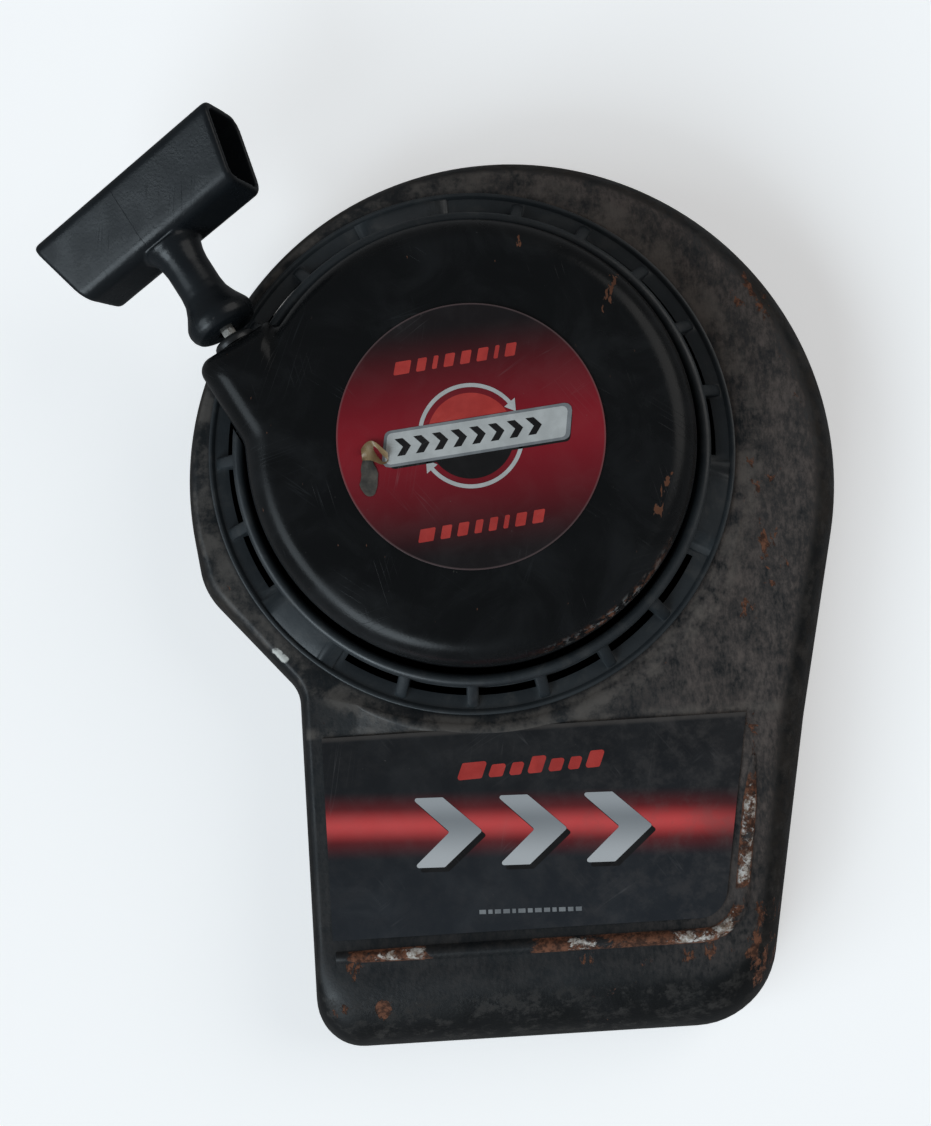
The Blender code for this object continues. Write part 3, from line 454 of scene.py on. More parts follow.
def shade_material():
    """The unlit ground under the part, which shows black through the vents."""
    look = Look("studio_shade", (3, 3, 3), 0)
    look.paint(look.noise(30), (5, 5, 5))
    look.set("Roughness", 0.95)
    return look


def floor_material():
    look = Look("studio_floor", (855, 855, 858), 0.1)
    tone = look.noise(6, 3, 0.5)
    look.paint(tone, (870, 870, 870))
    look.set("Roughness", tone.step(0.3, 0.7, 0.88, 0.94))
    look.set("Emission Strength", 0.42)
    return look


# ---- Mesh helpers ----

def added(name, data, matrix=Matrix()):
    """A new object in the scene."""
    made = bpy.data.objects.new(name, data)
    made.matrix_world = matrix
    bpy.context.scene.collection.objects.link(made)
    return made


def make(name, shape, look, offset=SPIN, matrix=Matrix(), sharp=32):
    """One object from a shape's points and faces, turned outwards, smooth between sharp edges."""
    points, faces = shape
    mesh = bpy.data.meshes.new(name)
    draft = bmesh.new()
    corners = [draft.verts.new(Vector(point) + offset) for point in points]
    for face in faces:
        draft.faces.new([corners[index] for index in face])
    bmesh.ops.recalc_face_normals(draft, faces=draft.faces)
    draft.to_mesh(mesh)
    draft.free()
    mesh.shade_smooth()
    mesh.set_sharp_from_angle(angle=radians(sharp))
    if look:
        mesh.materials.append(look.made)
    return added(name, mesh, matrix)


def mm(*points):
    """Points given in millimetres, in metres."""
    return [tuple(value * 0.001 for value in point) for point in points]


def polar(radius, angle, *height):
    """A point about the Z axis, flat or with a height."""
    return (radius * cos(angle), radius * sin(angle), *height)


def loft(rings, closed=False):
    """Points and faces of a skin over rings of equal length, capped at both ends unless closed."""
    count = len(rings[0])
    points = [point for ring in rings for point in ring]
    faces = []
    for ring in range(len(rings) if closed else len(rings) - 1):
        low = ring * count
        high = ((ring + 1) % len(rings)) * count
        for index in range(count):
            after = (index + 1) % count
            faces.append((low + index, low + after, high + after, high + index))
    if not closed:
        faces.append(tuple(range(count)))
        faces.append(tuple(range(len(points) - count, len(points))))
    return points, faces


def lathe(profile, segments, hollow=False):
    """A profile of (radius, height) pairs turned about Z; hollow makes a ring with a hole in it."""
    angles = [2 * pi * step / segments for step in range(segments)]
    return loft([[polar(radius, a, height) for a in angles] for radius, height in profile], hollow)


def prism(outline, low, high):
    return loft([[(x, y, low) for x, y in outline], [(x, y, high) for x, y in outline]])


def merged(shapes):
    points, faces = [], []
    for some_points, some_faces in shapes:
        faces += [tuple(index + len(points) for index in face) for face in some_faces]
        points += some_points
    return points, faces


def turned(shape, angle):
    rotation = Matrix.Rotation(angle, 3, "Z")
    return [rotation @ Vector(point) for point in shape[0]], shape[1]


def settle(made):
    """Applies an object's modifiers."""
    graph = bpy.context.evaluated_depsgraph_get()
    mesh = bpy.data.meshes.new_from_object(made.evaluated_get(graph))
    made.modifiers.clear()
    made.data = mesh


def modify(made, kind, **settings):
    """Adds a modifier with its settings."""
    change = made.modifiers.new(kind, kind)
    for name, value in settings.items():
        setattr(change, name, value)


def join(target, shape, offset=SPIN, operation="UNION"):
    """Joins one closed shape to the target, and applies it at once."""
    helper = make("helper", shape, None, offset, target.matrix_world.copy())
    bpy.context.view_layer.update()
    modify(target, "BOOLEAN", operation=operation, solver="EXACT", object=helper)
    settle(target)
    bpy.data.objects.remove(helper, do_unlink=True)


def cut(target, shape, offset=SPIN):
    join(target, shape, offset, "DIFFERENCE")


def soften(made, width):
    """Rounds the sharp edges of a finished shape."""
    modify(made, "BEVEL", width=width, segments=2, limit_method="ANGLE", angle_limit=radians(40))
    settle(made)
    made.data.shade_smooth()
    made.data.set_sharp_from_angle(angle=radians(38))


def arc(center, radius, start, end, steps):
    """Points on an arc from start to end, both included."""
    turns = [start + (end - start) * step / steps for step in range(steps + 1)]
    return [(center[0] + radius * cos(turn), center[1] + radius * sin(turn)) for turn in turns]


def fillet(before, corner, after, radius, steps):
    """Points of the arc that rounds a corner between two straight runs."""
    corner = Vector(corner)
    incoming = (Vector(before) - corner).normalized()
    outgoing = (Vector(after) - corner).normalized()
    half = incoming.angle(outgoing) / 2
    reach = radius / tan(half)
    center = corner + (incoming + outgoing).normalized() * radius / sin(half)
    first = corner + incoming * reach - center
    last = corner + outgoing * reach - center
    start = atan2(first.y, first.x)
    sweep = atan2(first.x * last.y - first.y * last.x, first.dot(last))
    return arc(center, radius, start, start + sweep, steps)


def round_with_corners(center, radius, start, end, steps, corners, corner_steps):
    """An outline made of one long arc and then rounded corners, back to the arc's start."""
    points = arc(center, radius, start, end, steps)
    first, last = points[0], points[-1]
    route = [last] + [(x, y) for x, y, _ in corners] + [first]
    for place, (x, y, bend) in enumerate(corners):
        points.extend(fillet(route[place], (x, y), route[place + 2], bend, corner_steps))
    return points


def rounded_polygon(corners, bend, steps):
    found = []
    for place, corner in enumerate(corners):
        found.extend(fillet(corners[place - 1], corner, corners[(place + 1) % len(corners)], bend, steps))
    return found


def tilt(outline, angle=radians(5.5), offset=(0, 0)):
    """Turns a flat outline, unless told otherwise by the round label's tilt, and moves it."""
    across, up = polar(1, angle)
    return [(x * across - y * up + offset[0], x * up + y * across + offset[1]) for x, y in outline]


def annular_sector(inner, outer, start, end):
    """A block between two radii and two angles, as high as the vent slots are cut."""
    outline = arc((0, 0), outer, start, end, 8) + arc((0, 0), inner, end, start, 8)
    return prism(outline, SLOT_LOW, SLOT_HIGH)


def on_rope(along):
    """A point on the rope's line, at a distance along the pull."""
    return PULL * along - ACROSS * ROPE_LINE + Vector((0, 0, ROPE_Z))


def along_pull(shape):
    """Turns a shape made about Z onto the rope's line: its heights become distances along the pull."""
    return [on_rope(z) - ACROSS * x + Vector((0, 0, y)) for x, y, z in shape[0]], shape[1]


def direction_at(path, place):
    return (path[min(place + 1, len(path) - 1)] - path[max(place - 1, 0)]).normalized()


def tube(path, radius, sides, ripple):
    """A closed tube along a path; ripple(step, side angle) scales its radius."""
    rings = []
    for place, point in enumerate(path):
        ahead = direction_at(path, place)
        side = ahead.cross(Vector((0, 0, 1))).normalized()
        upward = side.cross(ahead)
        ring = []
        for step in range(sides):
            angle = 2 * pi * step / sides
            out, up = polar(radius * ripple(place, angle), angle)
            ring.append(point + side * out + upward * up)
        rings.append(ring)
    return loft(rings)


# ---- Shroud ----

def shroud_outline(center, radius, corners):
    return round_with_corners(center, radius, radians(-13), radians(188), 110, corners, 12)


def rim_outline(inset=0):
    left, right, bottom = RIM_LEFT + inset, RIM_CORNER_X - inset, RIM_BOTTOM + inset
    corners = [(-0.0976 + inset, -0.0415, 0.025), (left, -0.0785, 0.012 + inset),
               (left, bottom, 0.016 - inset), (right, bottom, 0.03 - inset),
               (0.1116 - inset, -0.097, 0.15)]
    return shroud_outline(RIM_CENTER, RIM_RADIUS - inset, corners)


def face_outline(inset=0):
    left, right, bottom = FACE_LEFT + inset, FACE_CORNER_X - inset, FACE_BOTTOM + inset
    corners = [(-0.0894 + inset, -0.04, 0.022), (left, -0.076, 0.014 + inset),
               (left, bottom, 0.009 - inset), (right, bottom, 0.016 - inset),
               (FACE_BEND_X - inset, FACE_BEND_Y, 0.12)]
    return shroud_outline(FACE_CENTER, FACE_RADIUS - inset, corners)


def wall_rings(inset, top, steps=18):
    """Rings up the sloping wall, from the rim to the top face."""
    low, high = rim_outline(inset), face_outline(inset)
    rings = []
    for step in range(steps + 1):
        share = step / steps
        lean = share * share * (0.6 + 0.4 * share)
        height = top * sin(share * pi / 2) ** 0.92
        rings.append([(x + (u - x) * lean, y + (v - y) * lean, height) for (x, y), (u, v) in zip(low, high)])
    return rings


def hump_section(point, side, width, height, power):
    """One section of a rounded hump on the face: over its back, then back through the sheet."""
    back = [-0.5 + step / 8 for step in range(9)]
    levels = [FACE_Z - 0.0001 + height * max(0, cos(across * pi)) ** power for across in back]
    levels += [FACE_Z - SHEET * 0.5] * 2
    return [(*(point + side * across * width), level) for across, level in zip(back + [0.5, -0.5], levels)]


def ridge():
    """The rounded crest along the bottom of the label panel and up its right side."""
    bottom = FACE_BOTTOM + RIDGE_INSET
    corner = Vector((FACE_CORNER_X - RIDGE_INSET, bottom))
    bend = Vector((FACE_BEND_X - RIDGE_INSET, FACE_BEND_Y))
    first, last = Vector((-0.0559, bottom)), corner.lerp(bend, 0.83)
    turn = [Vector(point) for point in fillet(first, corner, bend, 0.014, 14)]
    path = [first.lerp(turn[0], step / 30) for step in range(30)] + turn
    path += [turn[-1].lerp(last, step / 12) for step in range(1, 13)]
    rings = []
    for place, point in enumerate(path):
        ahead = direction_at(path, place)
        grow = min(1, 0.78 + 0.22 * place / 8, 0.35 + 0.65 * (len(path) - 1 - place) / 4)
        side = Vector((ahead.y, -ahead.x))
        rings.append(hump_section(point, side, RIDGE_WIDTH * grow, RIDGE_HEIGHT * grow, 0.8))
    return loft(rings)


def ring_land():
    """A low embossed step that follows the intake ring round its lower side."""
    steps = 60
    rings = []
    for step in range(steps + 1):
        share = step / steps
        angle = radians(-118) + radians(100) * share
        grow = sin(pi * share) ** 0.35 if 0 < step < steps else 0.12
        middle, side = Vector(polar(LAND_RADIUS, angle)), Vector(polar(1, angle))
        rings.append(hump_section(middle, side, LAND_WIDTH * grow, LAND_HEIGHT * grow, 0.7))
    return loft(rings)


def mounting_ear(x, y, facing):
    """A tab turned inwards from the rim, with its screw hole: returns the tab and the hole."""
    middle = (EAR_REACH - EAR_HALF, 0)
    outline = [(0, EAR_HALF), (0, -EAR_HALF)] + arc(middle, EAR_HALF, -pi / 2, pi / 2, 16)
    hole = arc(middle, EAR_HOLE, 0, 2 * pi * 31 / 32, 31)
    return (prism(tilt(outline, facing, (x, y)), 0, SHEET),
            prism(tilt(hole, facing, (x, y)), -0.002, SHEET + 0.002))


def ear_places():
    """Each ear's root, in the middle of the wall's sheet, and the direction in which it points."""
    found = []
    for angle in (radians(147), radians(35)):
        x, y = polar(RIM_RADIUS - SHEET / 2, angle)
        found.append((RIM_CENTER[0] + x, RIM_CENTER[1] + y, angle + pi))
    lean = radians(11.4)
    ear_y = -0.165
    right_wall = RIM_CORNER_X + (ear_y - RIM_BOTTOM) * tan(lean)
    found.append((RIM_LEFT + SHEET / 2, ear_y, 0))
    found.append((right_wall - SHEET / 2, ear_y, pi - lean))
    return found


def plain_angles():
    return [FIRST_PLAIN + group * 2 * pi / VENT_GROUPS for group in range(VENT_GROUPS)]


def add_shroud(look):
    outer = wall_rings(0, FACE_Z)
    inner = wall_rings(SHEET, FACE_Z - SHEET)
    shroud = make("shroud_shell", loft(list(reversed(inner)) + outer), look)
    join(shroud, ridge())
    join(shroud, ring_land())
    for tab, hole in [mounting_ear(*place) for place in ear_places()]:
        join(shroud, tab)
        cut(shroud, hole)
    tab_half = radians(7)
    outline = []
    for angle in plain_angles():
        outline.extend(arc((0, 0), 0.079, angle - tab_half, angle + tab_half, 6))
        after = angle + 2 * pi / VENT_GROUPS
        outline.extend(arc((0, 0), 0.0845, angle + tab_half * 1.2, after - tab_half * 1.2, 40))
    cut(shroud, prism(outline, 0.03, 0.06))
    soften(shroud, 0.00035)
    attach(shroud, "housing")
    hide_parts("blower_housing")


# ---- Air intake ring ----

def vent_angles():
    """The slots' start and end angles, and the ribs' angles."""
    pitch = (2 * pi / VENT_GROUPS - PLAIN_ANGLE) / SLOTS_PER_GROUP
    rib_half = 0.002 / BEAD_OUTER
    slots, ribs = [], []
    for plain in plain_angles():
        start = plain + PLAIN_ANGLE / 2
        for slot in range(SLOTS_PER_GROUP):
            low = start + slot * pitch + rib_half
            slots.append((low, low + pitch - 2 * rib_half))
        ribs.extend(start + rib * pitch for rib in range(1, SLOTS_PER_GROUP))
    return slots, ribs


def vent_rib(angle):
    """One web with a rounded back, sloping from the bead down to the ledge."""
    line = mm((79.2, 56), (81, 54.3), (83.5, 51.6), (85.6, 49.2), (86.8, 47.8), (87.4, 46.8))
    rings = []
    for radius, height in line:
        half = 0.0014 if radius > 0.087 else 0.002
        ring = []
        for step in range(9):
            turn = pi * step / 8
            ring.append((radius, -half * cos(turn), height - half * 0.55 * (1 - sin(turn))))
        rings.append(ring + [(radius, half, 0.0458), (radius, -half, 0.0458)])
    return turned(loft(rings), angle)


def plain_cone(angle):
    """A smooth sloping sheet that closes the ring between two groups of vents."""
    profile = mm((79.7, 55.5), (79.7, 53.6), (86.6, 45.6), (88.2, 46), (88.2, 46.8))
    base, steps = RING_FLOOR + 0.0004, 32
    rings = []
    for step in range(steps + 1):
        share = step / steps
        turn = angle + PLAIN_ANGLE * (share - 0.5)
        ease = min(1, min(share, 1 - share) / 0.22)
        rise = ease * ease * (3 - 2 * ease)
        ring = []
        for radius, height in profile:
            sunk = base + (height - base) * (0.05 + 0.95 * rise)
            ring.append(polar(radius, turn, sunk if height > RING_FLOOR else height))
        rings.append(ring)
    return loft(rings)


def add_ring(look):
    base = FACE_Z + GAP
    middle, half = (BEAD_INNER + BEAD_OUTER) / 2, (BEAD_OUTER - BEAD_INNER) / 2
    crown = RING_TOP_Z - half
    lip = [(RING_OUTER, base), (RING_OUTER, 0.047), (0.0897, 0.0475), (0.0891, 0.0477), (0.0885, 0.0475),
           (0.0878, RING_FLOOR)]
    bead = [(BEAD_OUTER, RING_FLOOR)] + arc((middle, crown), half, 0, pi, 10)
    ring = make("intake_ring", lathe([(BEAD_INNER, base)] + lip + bead, 180, hollow=True), look)
    slots, ribs = vent_angles()
    cuts = [annular_sector(SLOT_INNER, SLOT_OUTER, *ends) for ends in slots]
    cut(ring, merged(cuts))
    join(ring, merged([vent_rib(angle) for angle in ribs]))
    half = radians(8.2)
    pockets = [annular_sector(SLOT_INNER, 0.087, angle - half, angle + half) for angle in plain_angles()]
    cut(ring, merged(pockets))
    join(ring, merged([plain_cone(angle) for angle in plain_angles()]))
    notch = prism(cup_outline(-0.001, 48, 6), LUG_FLOOR_Z - 0.0012, RING_TOP_Z + 0.002)
    cut(ring, notch)
    soften(ring, 0.0003)
    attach(ring, "housing")
    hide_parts("air_intake_ring")


# ---- Starter cup ----

def tangent_meets(radius, angle, across):
    """How far along the pull the circle's tangent at an angle has come at a distance across."""
    run = (across - radius * cos(angle)) / -sin(angle)
    return radius * sin(angle) + run * cos(angle)


def cup_outline(inset, steps=150, corner_steps=12):
    """The cup seen from above: a circle with a squared lug where the rope comes out."""
    radius = CUP_RADIUS - inset
    right, left, front = LUG_RIGHT - inset, LUG_LEFT + inset, LUG_FRONT - inset
    last = acos(right / radius) - radians(4)
    first = acos(left / radius) + radians(6)
    corners = [(right, tangent_meets(radius, last, right), 0.0018), (right, front, 0.0016),
               (left, front, 0.0048), (left, tangent_meets(radius, first, left), 0.01)]
    local = round_with_corners((0, 0), radius, first, 2 * pi + last, steps, corners, corner_steps)
    return [tuple(ACROSS * across + PULL * along)[:2] for across, along in local]


def cup_rings(inset, edge, top):
    """Rings up the cup's wall and over its rounded edge."""
    levels = [(inset, LUG_FLOOR_Z + (top - edge - LUG_FLOOR_Z) * step / 4) for step in range(4)]
    for step in range(13):
        angle = step / 12 * pi / 2
        levels.append((inset + edge * (1 - cos(angle)) * 0.85, top - edge + edge * sin(angle)))
    return [[(x, y, height) for x, y in cup_outline(pull_in)] for pull_in, height in levels]


def cup_foot(angle):
    """A flat foot under one rivet."""
    half = 0.009
    root = CUP_RADIUS - 0.0008
    outline = [(root, -half), (0.086, -half), (0.0885, -half * 0.7)]
    outline += [(0.0885, half * 0.7), (0.086, half), (root, half)]
    return turned(prism(outline, CUP_FOOT_Z, CUP_FOOT_Z + 0.0012), angle)


def rivet_hole(angle):
    points, faces = lathe([(0.0019, 0.036), (0.0019, 0.05)], 20)
    return turned(([(x + RIVET_CIRCLE, y, z) for x, y, z in points], faces), angle)


def add_cup(look):
    outer = cup_rings(0, CUP_EDGE, CUP_TOP_Z)
    inner = cup_rings(CUP_SHEET, CUP_EDGE - CUP_SHEET, CUP_TOP_Z - CUP_SHEET)
    cup = make("cup_shell", loft(list(reversed(inner)) + outer), look)
    thin = 0.00015
    inside, outside, high = CUP_RADIUS - CUP_SHEET + thin, CUP_RADIUS - thin, LUG_FLOOR_Z + 0.001
    skirt = [(inside, CUP_FOOT_Z), (outside, CUP_FOOT_Z), (outside, high), (inside, high)]
    join(cup, lathe(skirt, 150, hollow=True))
    join(cup, merged([cup_foot(angle) for angle in plain_angles()]))
    cut(cup, merged([rivet_hole(angle) for angle in plain_angles()]))
    hole = along_pull(lathe([(0.0053, 0.062), (0.0053, 0.074)], 32))
    cut(cup, hole)
    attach(cup, "housing")
    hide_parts("starter_cup")


def add_eyelet(look):
    """The rope's bush, with a rounded flange outside the lug."""
    face = LUG_FRONT + GAP
    bore = ROPE_RADIUS + 0.0008
    profile = [(bore, 0.066), (0.005, 0.066), (0.005, face), (0.0071, face)]
    for step in range(9):
        turn = radians(-20 + 200 * step / 8)
        profile.append((0.0052 + 0.0021 * cos(turn), face + 0.0011 + 0.0019 * sin(turn)))
    profile.append((bore, face + 0.0006))
    bush = make("rope_bush", along_pull(lathe(profile, 56, hollow=True)), look)
    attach(bush, "housing")
    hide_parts("rope_eyelet")


# ---- Rope ----

def braid(twist, count):
    """Radius ripple of a braided cord: two families of strands that cross."""
    def ripple(place, angle):
        one = cos(count * angle + twist * place)
        other = cos(count * angle - twist * place)
        return 0.93 + 0.07 * max(one, other)
    return ripple


def add_rope(look):
    end = NOSE_START + GRIP_SEAT + GAP + 0.0012
    steps = 220
    path = [on_rope(ROPE_START + (end - ROPE_START) * step / steps) for step in range(steps + 1)]
    strand = make("rope_strand", tube(path, ROPE_RADIUS, 40, braid(0.55, 8)), look)
    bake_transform(strand)
    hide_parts("rope_lead")

    turns, per_turn = 4, 60
    path = []
    for step in range(turns * per_turn + 1):
        radius = CORE_RADIUS + 0.0026 + 0.0044 * step / per_turn
        path.append(Vector(polar(radius, 2 * pi * step / per_turn, (GROOVE_LOW + GROOVE_HIGH) / 2)))
    wound = make("rope_wound", tube(path, ROPE_RADIUS, 20, braid(0.8, 5)), look)
    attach(wound, "pulley")
    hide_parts("rope_coil")


# ---- Grip ----

def grip_frame():
    """The grip's own frame: +Y along the pull, +X towards the bar's right end."""
    turn = Matrix.Rotation(PULL_ANGLE - pi / 2, 4, "Z")
    return Matrix.Translation(on_rope(NOSE_START) + SPIN) @ turn @ Matrix.Rotation(GRIP_TWIST, 4, "Y")


def bar_section(wall, bend):
    near, far = GRIP_INNER + wall, GRIP_OUTER - wall
    top = GRIP_HALF_HEIGHT - wall
    return rounded_polygon([(far, -top), (far, top), (near, top), (near, -top)], bend, 8)


def bar_ring(section, share, shrink=1):
    """The bar's section at a share of its half length, raked and slanted as its ends are."""
    middle = (GRIP_INNER + GRIP_OUTER) / 2
    ring = []
    for pull, height in section:
        pull = middle + (pull - middle) * shrink + height * shrink * GRIP_RAKE
        slant = (pull - GRIP_INNER) / (GRIP_OUTER - GRIP_INNER)
        half = GRIP_HALF_INNER + (GRIP_HALF_OUTER - GRIP_HALF_INNER) * slant
        ring.append((half * share, pull, height * shrink))
    return ring


def upright_to_pull(shape):
    return [(x, z, -y) for x, y, z in shape[0]], shape[1]


def add_grip(look):
    """A hollow T grip, blended by a fine remesh so that its stem runs smoothly into its bar."""
    outside, inside = bar_section(0, 0.005), bar_section(GRIP_WALL, 0.0027)
    ends = ((0.955, 1), (0.978, 0.985), (0.993, 0.96), (1, 0.92))
    rings = [bar_ring(outside, -share, shrink) for share, shrink in reversed(ends)]
    rings += [bar_ring(outside, share) for share in (-0.6, -0.2, 0.2, 0.6)]
    rings += [bar_ring(outside, share, shrink) for share, shrink in ends]
    rings += [bar_ring(inside, share) for share in (1, 0.5, 0, -0.5, -1)]
    none = Vector((0, 0, 0))
    grip = make("pull_grip", loft(rings, closed=True), look, none, grip_frame())
    stem = mm((7.8, 0), (10.4, 0.8), (11.6, 2.6), (12, 4.6), (11.7, 6.4), (9.3, 10.6), (7.9, 14),
              (7.5, 17.5), (7.5, 25.8), (7.9, 29), (8.8, 31.8), (10.4, 34.4), (10.4, 35.3), (7.7, 35.3))
    join(grip, upright_to_pull(lathe([*stem, (0.0077, GRIP_SEAT)], 64)), none)
    bore = lathe([(0.0031, -0.002), (0.0031, 0.045)], 24)
    cut(grip, upright_to_pull(bore), none)
    modify(grip, "REMESH", mode="VOXEL", voxel_size=0.00048)
    modify(grip, "SMOOTH", factor=0.5, iterations=5)
    settle(grip)
    grip.data.shade_smooth()
    grip.data.materials.clear()
    grip.data.materials.append(look.made)
    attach(grip, "grip")
    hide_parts("handle_grip")


# ---- Labels ----

def printed(name, outlines, level, look, base=LABEL_Z + LABEL_THICK):
    """Printed shapes of one colour, as one thin piece on a label; level is the layer it is in."""
    low = base + level * PRINT_THICK
    piece = make(name, merged([prism(outline, low, low + PRINT_THICK) for outline in outlines]), look)
    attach(piece, "housing")


def slanted(left, right, low, high, slant, bend=0):
    """A leaning bar between two heights, given in millimetres."""
    lean = (high - low) * slant
    corners = mm((left, low), (right, low), (right + lean, high), (left + lean, high))
    return rounded_polygon(corners, bend * 0.001, 3) if bend else corners


def row_of_bars(left, widths, gap, low, tops, slant, bend=0):
    """Leaning bars from left to right, given in millimetres; they take their tops in turn."""
    bars = []
    for number, width in enumerate(widths):
        bars.append(slanted(left, left + width, low, tops[number % len(tops)], slant, bend))
        left += width + gap
    return bars


def arc_arrow(radius, width, start, end, head):
    """A curved arrow: a band along an arc with a pointed head at its end."""
    outer = arc((0, 0), radius + width / 2, start, end, 28)
    inner = arc((0, 0), radius - width / 2, end, start, 28)
    tip = polar(radius, end + head / radius * (1 if end > start else -1))
    return outer + [polar(radius + head * 0.62, end), tip, polar(radius - head * 0.62, end)] + inner


def add_round_label(film_look, inks):
    high = LABEL_Z + LABEL_THICK
    profile = [(0.01, LABEL_Z), (LABEL_RADIUS, LABEL_Z), (LABEL_RADIUS, high - 0.0001),
               (LABEL_RADIUS - 0.0001, high), (0.01, high)]
    disc = make("round_decal", lathe(profile, 128), film_look)
    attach(disc, "housing")
    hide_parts("round_label")

    # A plate of chevrons with a curved arrow above and below it.
    plate = slanted(-29, 30, -5.2, 4.8, 0.25, 1.6)
    shadow = [(x + 0.0012, y - 0.0016) for x, y in plate]
    border = slanted(-30.2, 31.2, -6.1, 5.7, 0.25, 2.2)
    printed("decal_plate_shadow", [tilt(shadow)], 1, inks["black"])
    printed("decal_plate_border", [tilt(border)], 2, inks["grey"])
    printed("decal_plate", [tilt(plate)], 3, inks["pale"])
    chevron = mm((0, -2.9), (2.6, -2.9), (4.9, -0.1), (2.6, 2.7), (0, 2.7), (2.3, -0.1))
    lefts = [-0.0245 + number * 0.0061 for number in range(8)]
    chevrons = [tilt([(left + x, y) for x, y in chevron]) for left in lefts]
    printed("decal_chevrons", chevrons, 4, inks["black"])

    upper = tilt(arc_arrow(0.0165, 0.0013, radians(160), radians(32), 0.0036))
    lower = tilt(arc_arrow(0.0165, 0.0013, radians(-20), radians(-148), 0.0036))
    printed("decal_arrows", [upper, lower], 1, inks["pale"])
    dome = tilt(arc((0, 0), 0.014, radians(155), radians(25), 24))
    bowl = tilt(arc((0, 0), 0.014, radians(-25), radians(-155), 24))
    printed("decal_dome", [dome], 0, inks["red"])
    printed("decal_bowl", [bowl], 0, inks["black"])

    dashes = row_of_bars(-21.5, (5.2, 3, 1.6, 3.2, 3.2, 3.4, 1.4, 3.4), 2.2, 23.5, [27.7], 0.35, 0.4)
    dashes += row_of_bars(-22.5, (5, 3.2, 3.4, 2.4, 2.6, 1.6, 3.4, 3.6), 2.2, -31.5, [-27.3], 0.35, 0.4)
    printed("decal_dashes", [tilt(bar, radians(6)) for bar in dashes], 0, inks["red"])
    add_flake(inks)


def add_flake(inks):
    """A torn spot at the label's left: a curled golden-brown scrap above a bared dark leaf shape."""
    leaf = []
    for step in range(28):
        turn = 2 * pi * step / 28
        wave = 1 + 0.1 * sin(5 * turn) + 0.06 * sin(9 * turn + 1)
        x = 0.0027 * sin(turn) * wave * (1 - 0.35 * cos(turn))
        leaf.append((x - 0.0336, 0.0072 * cos(turn) - 0.0105))
    printed("decal_bared_spot", [leaf], 5, inks["bare"])
    rings = []
    for step in range(13):
        share = step / 12
        ring = []
        half = 0.0034 * sin(pi * (0.12 + 0.8 * share)) ** 0.7
        for side in range(9):
            across = -1 + side / 4
            curl = 0.0013 * across * across + 0.0008 * sin(share * 7 + across * 2)
            y = -0.0042 + across * half + 0.0012 * sin(share * 5)
            ring.append((-0.0355 + share * 0.0085, y, LABEL_Z + LABEL_THICK + 0.0003 + curl))
        rings.append(ring + [(x, y, z - 0.00012) for x, y, z in reversed(ring)])
    scrap = make("decal_torn_scrap", loft(rings), inks["scrap"], sharp=60)
    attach(scrap, "housing")


def add_panel_label(film_look, inks):
    left, top, bottom = -0.0567, -0.0944, -0.1618
    upper_right, lower_right = (0.0866, top), (0.0743, bottom)
    outline = [upper_right, (left, top), (left, bottom)]
    outline += fillet((left, bottom), lower_right, upper_right, 0.01, 14)
    base = PANEL_Z + LABEL_THICK
    panel = make("panel_decal", prism(outline, PANEL_Z, base), film_look)
    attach(panel, "housing")
    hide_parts("panel_label")

    def on_panel(outlines, angle=-1.6):
        return [tilt(outline, radians(angle), (0.0135, -0.129)) for outline in outlines]

    # Three broad chevrons with dark shadows.
    chevron = mm((0, -11.6), (10.5, -11.6), (23.5, 0), (10.5, 11.6), (0, 11.6), (12.5, 0))
    chevrons = []
    for number in range(3):
        start = -0.0415 + number * 0.0285
        chevrons.append(rounded_polygon([(start + x, y) for x, y in chevron], 0.0007, 3))
    shadows = [[(x + 0.0013, y - 0.0015) for x, y in shape] for shape in chevrons]
    printed("panel_chevron_shadows", on_panel(shadows), 0, inks["black"], base)
    printed("panel_chevrons", on_panel(chevrons), 1, inks["silver"], base)

    bars = row_of_bars(-25, (8.5, 5, 4.2, 5, 4.6, 4, 5), 2, 18.6, [24.2, 22.8, 22.8], 0.45, 0.8)
    printed("panel_red_bars", on_panel(bars, 2), 0, inks["red"], base)
    widths = (2.2, 1.4, 2, 2.2, 1.2, 2.4, 1.6, 2.2, 2, 1.4, 2.2, 1.8, 2)
    dashes = row_of_bars(-20, widths, 0.8, -27.5, [-26.1], 0)
    printed("panel_small_dashes", on_panel(dashes), 0, inks["grey"], base)


# ---- CAD nodes that keep their own shape ----

def finish_nodes(look, *names):
    """Gives a look to CAD nodes that keep their own shape."""
    for name in names:
        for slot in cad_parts[name].material_slots:
            slot.material = look.made


# ---- Stage ----

def add_floor():
    disc = lathe([(12, -0.01), (12, -0.0005)], 48)
    floor = make("studio_floor", disc, floor_material(), Vector((0, 0, 0)))
    floor.visible_glossy = False  # dark paint keeps the dark surroundings it had, not a white floor
    shade = make("studio_shade", prism(rim_outline(0.004), -0.0004, -0.0001), shade_material())


def add_light(name, energy, direction, color, spread):
    """A soft distant light whose beams come from a direction."""
    lamp = bpy.data.lights.new(name, "SUN")
    lamp.energy = energy
    lamp.color = color
    lamp.angle = radians(spread)
    added(name, lamp, Vector(direction).to_track_quat("Z", "Y").to_matrix().to_4x4())


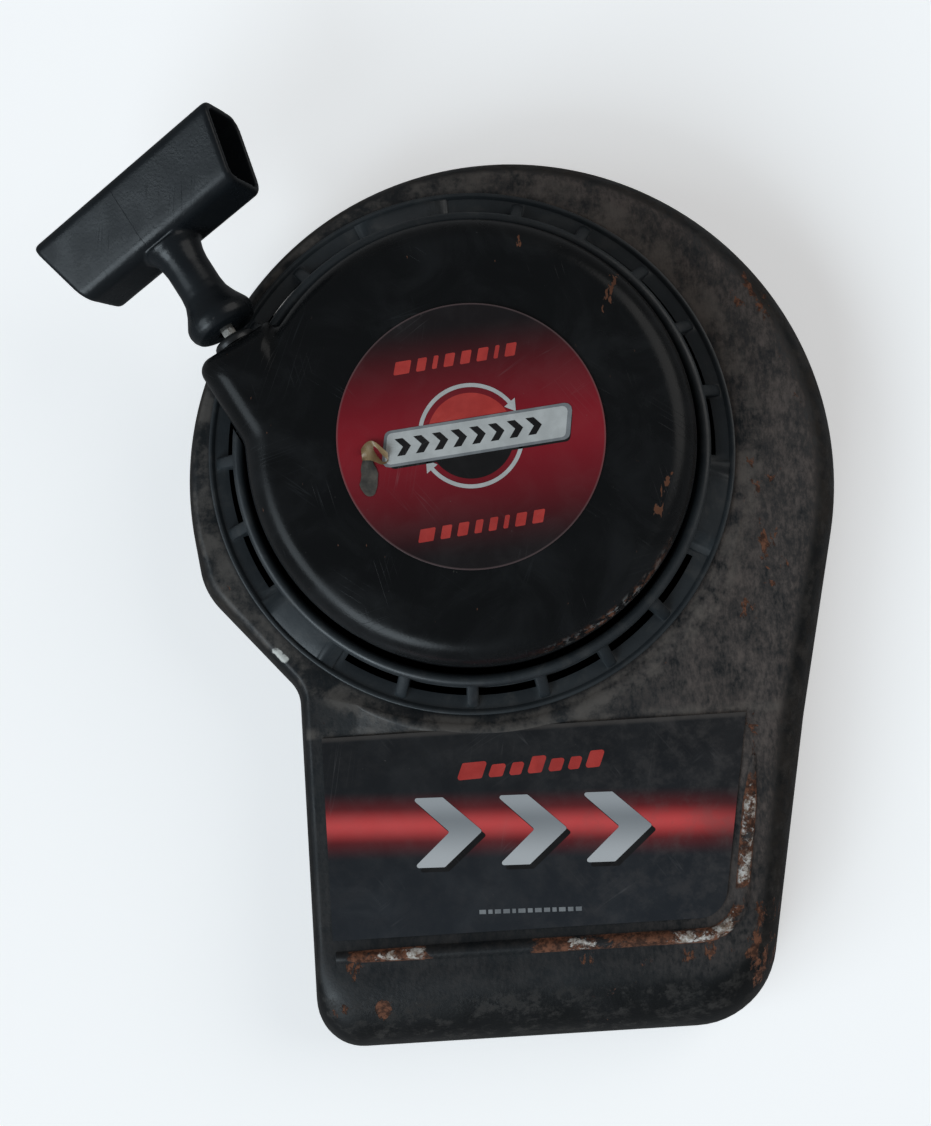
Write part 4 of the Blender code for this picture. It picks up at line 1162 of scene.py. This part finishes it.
def add_camera():
    place = SPIN + Vector((-0.001587, -0.086332, 0.608274))
    target = SPIN + Vector((-0.004494, -0.038542, 0.05))
    roll = radians(3.619)
    forward = (target - place).normalized()
    level_right = forward.cross(Vector((0, 1, 0))).normalized()
    level_up = level_right.cross(forward)
    right = level_right * cos(roll) - level_up * sin(roll)
    up = level_right * sin(roll) + level_up * cos(roll)
    data = bpy.data.cameras.new("camera")
    data.sensor_fit = "VERTICAL"
    data.sensor_height = 36
    data.lens = 53.1
    data.clip_start = 0.01
    axes = Matrix((right, up, -forward)).transposed()
    bpy.context.scene.camera = added("camera", data, Matrix.Translation(place) @ axes.to_4x4())


def add_studio():
    add_floor()
    add_light("key", 1.5, (-0.48, -0.7, 0.5), (0.8, 0.92, 1), 34)
    add_light("side", 0.75, (-0.78, -0.25, 0.6), (0.8, 0.92, 1), 34)
    add_light("fill", 0.6, (0.65, 0.3, 0.55), (1, 0.98, 0.95), 50)
    world = bpy.data.worlds.new("studio")
    world.use_nodes = True
    background = world.node_tree.nodes["Background"]
    background.inputs["Color"].default_value = (0.92, 0.96, 1, 1)
    background.inputs["Strength"].default_value = 0.13
    bpy.context.scene.world = world
    bpy.context.scene.view_settings.view_transform = "Standard"


def main():
    add_camera()
    add_shroud(shroud_paint())
    ring = moulded_plastic("ring_black_plastic", (19, 23.5, 27), (29, 34.5, 38.5), 0.38, 0.25)
    add_ring(ring)
    add_cup(cup_paint())
    add_eyelet(moulded_plastic("bush_black_nylon", (12, 13, 14), (20, 21, 22), 0.36))
    rope = rope_fibre()
    add_rope(rope)
    add_grip(grip_plastic())
    inks = {
        "black": print_ink("ink_black", (6, 5.5, 6), (8.5, 8, 8.5), 0.15),
        "pale": print_ink("ink_pale", (500, 510, 500), (600, 610, 600)),
        "grey": print_ink("ink_grey", (200, 210, 220), (280, 290, 300)),
        "red": print_ink("ink_red", (460, 40, 34), (560, 55, 45), 0.2),
        "silver": silver_ink(),
        "bare": print_ink("bared_adhesive", (45, 42, 38), (130, 115, 95), 0.6),
        "scrap": print_ink("torn_film_back", (260, 170, 85), (420, 310, 180), 0.3),
    }
    add_round_label(round_label_film(), inks)
    add_panel_label(panel_label_film(), inks)
    nylon = moulded_plastic("pulley_grey_nylon", (200, 200, 190), (280, 275, 260), 0.45, 0.35)
    plate = worn_metal("guide_plate_steel", (460, 460, 450), (340, 340, 340), 0.38, (1, 0.15, 1))
    pawl = worn_metal("pawl_hardened_steel", (360, 360, 370), (240, 240, 250), 0.36)
    spring = worn_metal("blue_spring_steel", (170, 190, 240), (100, 110, 140), 0.28, (1, 1, 0.1), 0.2)
    steel = turned_metal("turned_steel", (550, 550, 560), (420, 420, 430), 0.3, 0.3)
    zinc = turned_metal("zinc_plated_steel", (620, 620, 590), (480, 480, 450), 0.34, 0.2)
    finish_nodes(nylon, "rope_pulley")
    finish_nodes(plate, "pawl_guide_plate")
    finish_nodes(pawl, "pawl_a", "pawl_b")
    finish_nodes(spring, "recoil_spring")
    finish_nodes(steel, "centre_post", "friction_spring")
    finish_nodes(zinc, "brake_washer", "centre_screw", "cup_rivet_1", "cup_rivet_2", "cup_rivet_3",
                 "handle_washer", "pawl_pivot_a", "pawl_pivot_b")
    finish_nodes(rope, "rope_anchor_knot", "rope_end_knot")
    add_studio()


main()
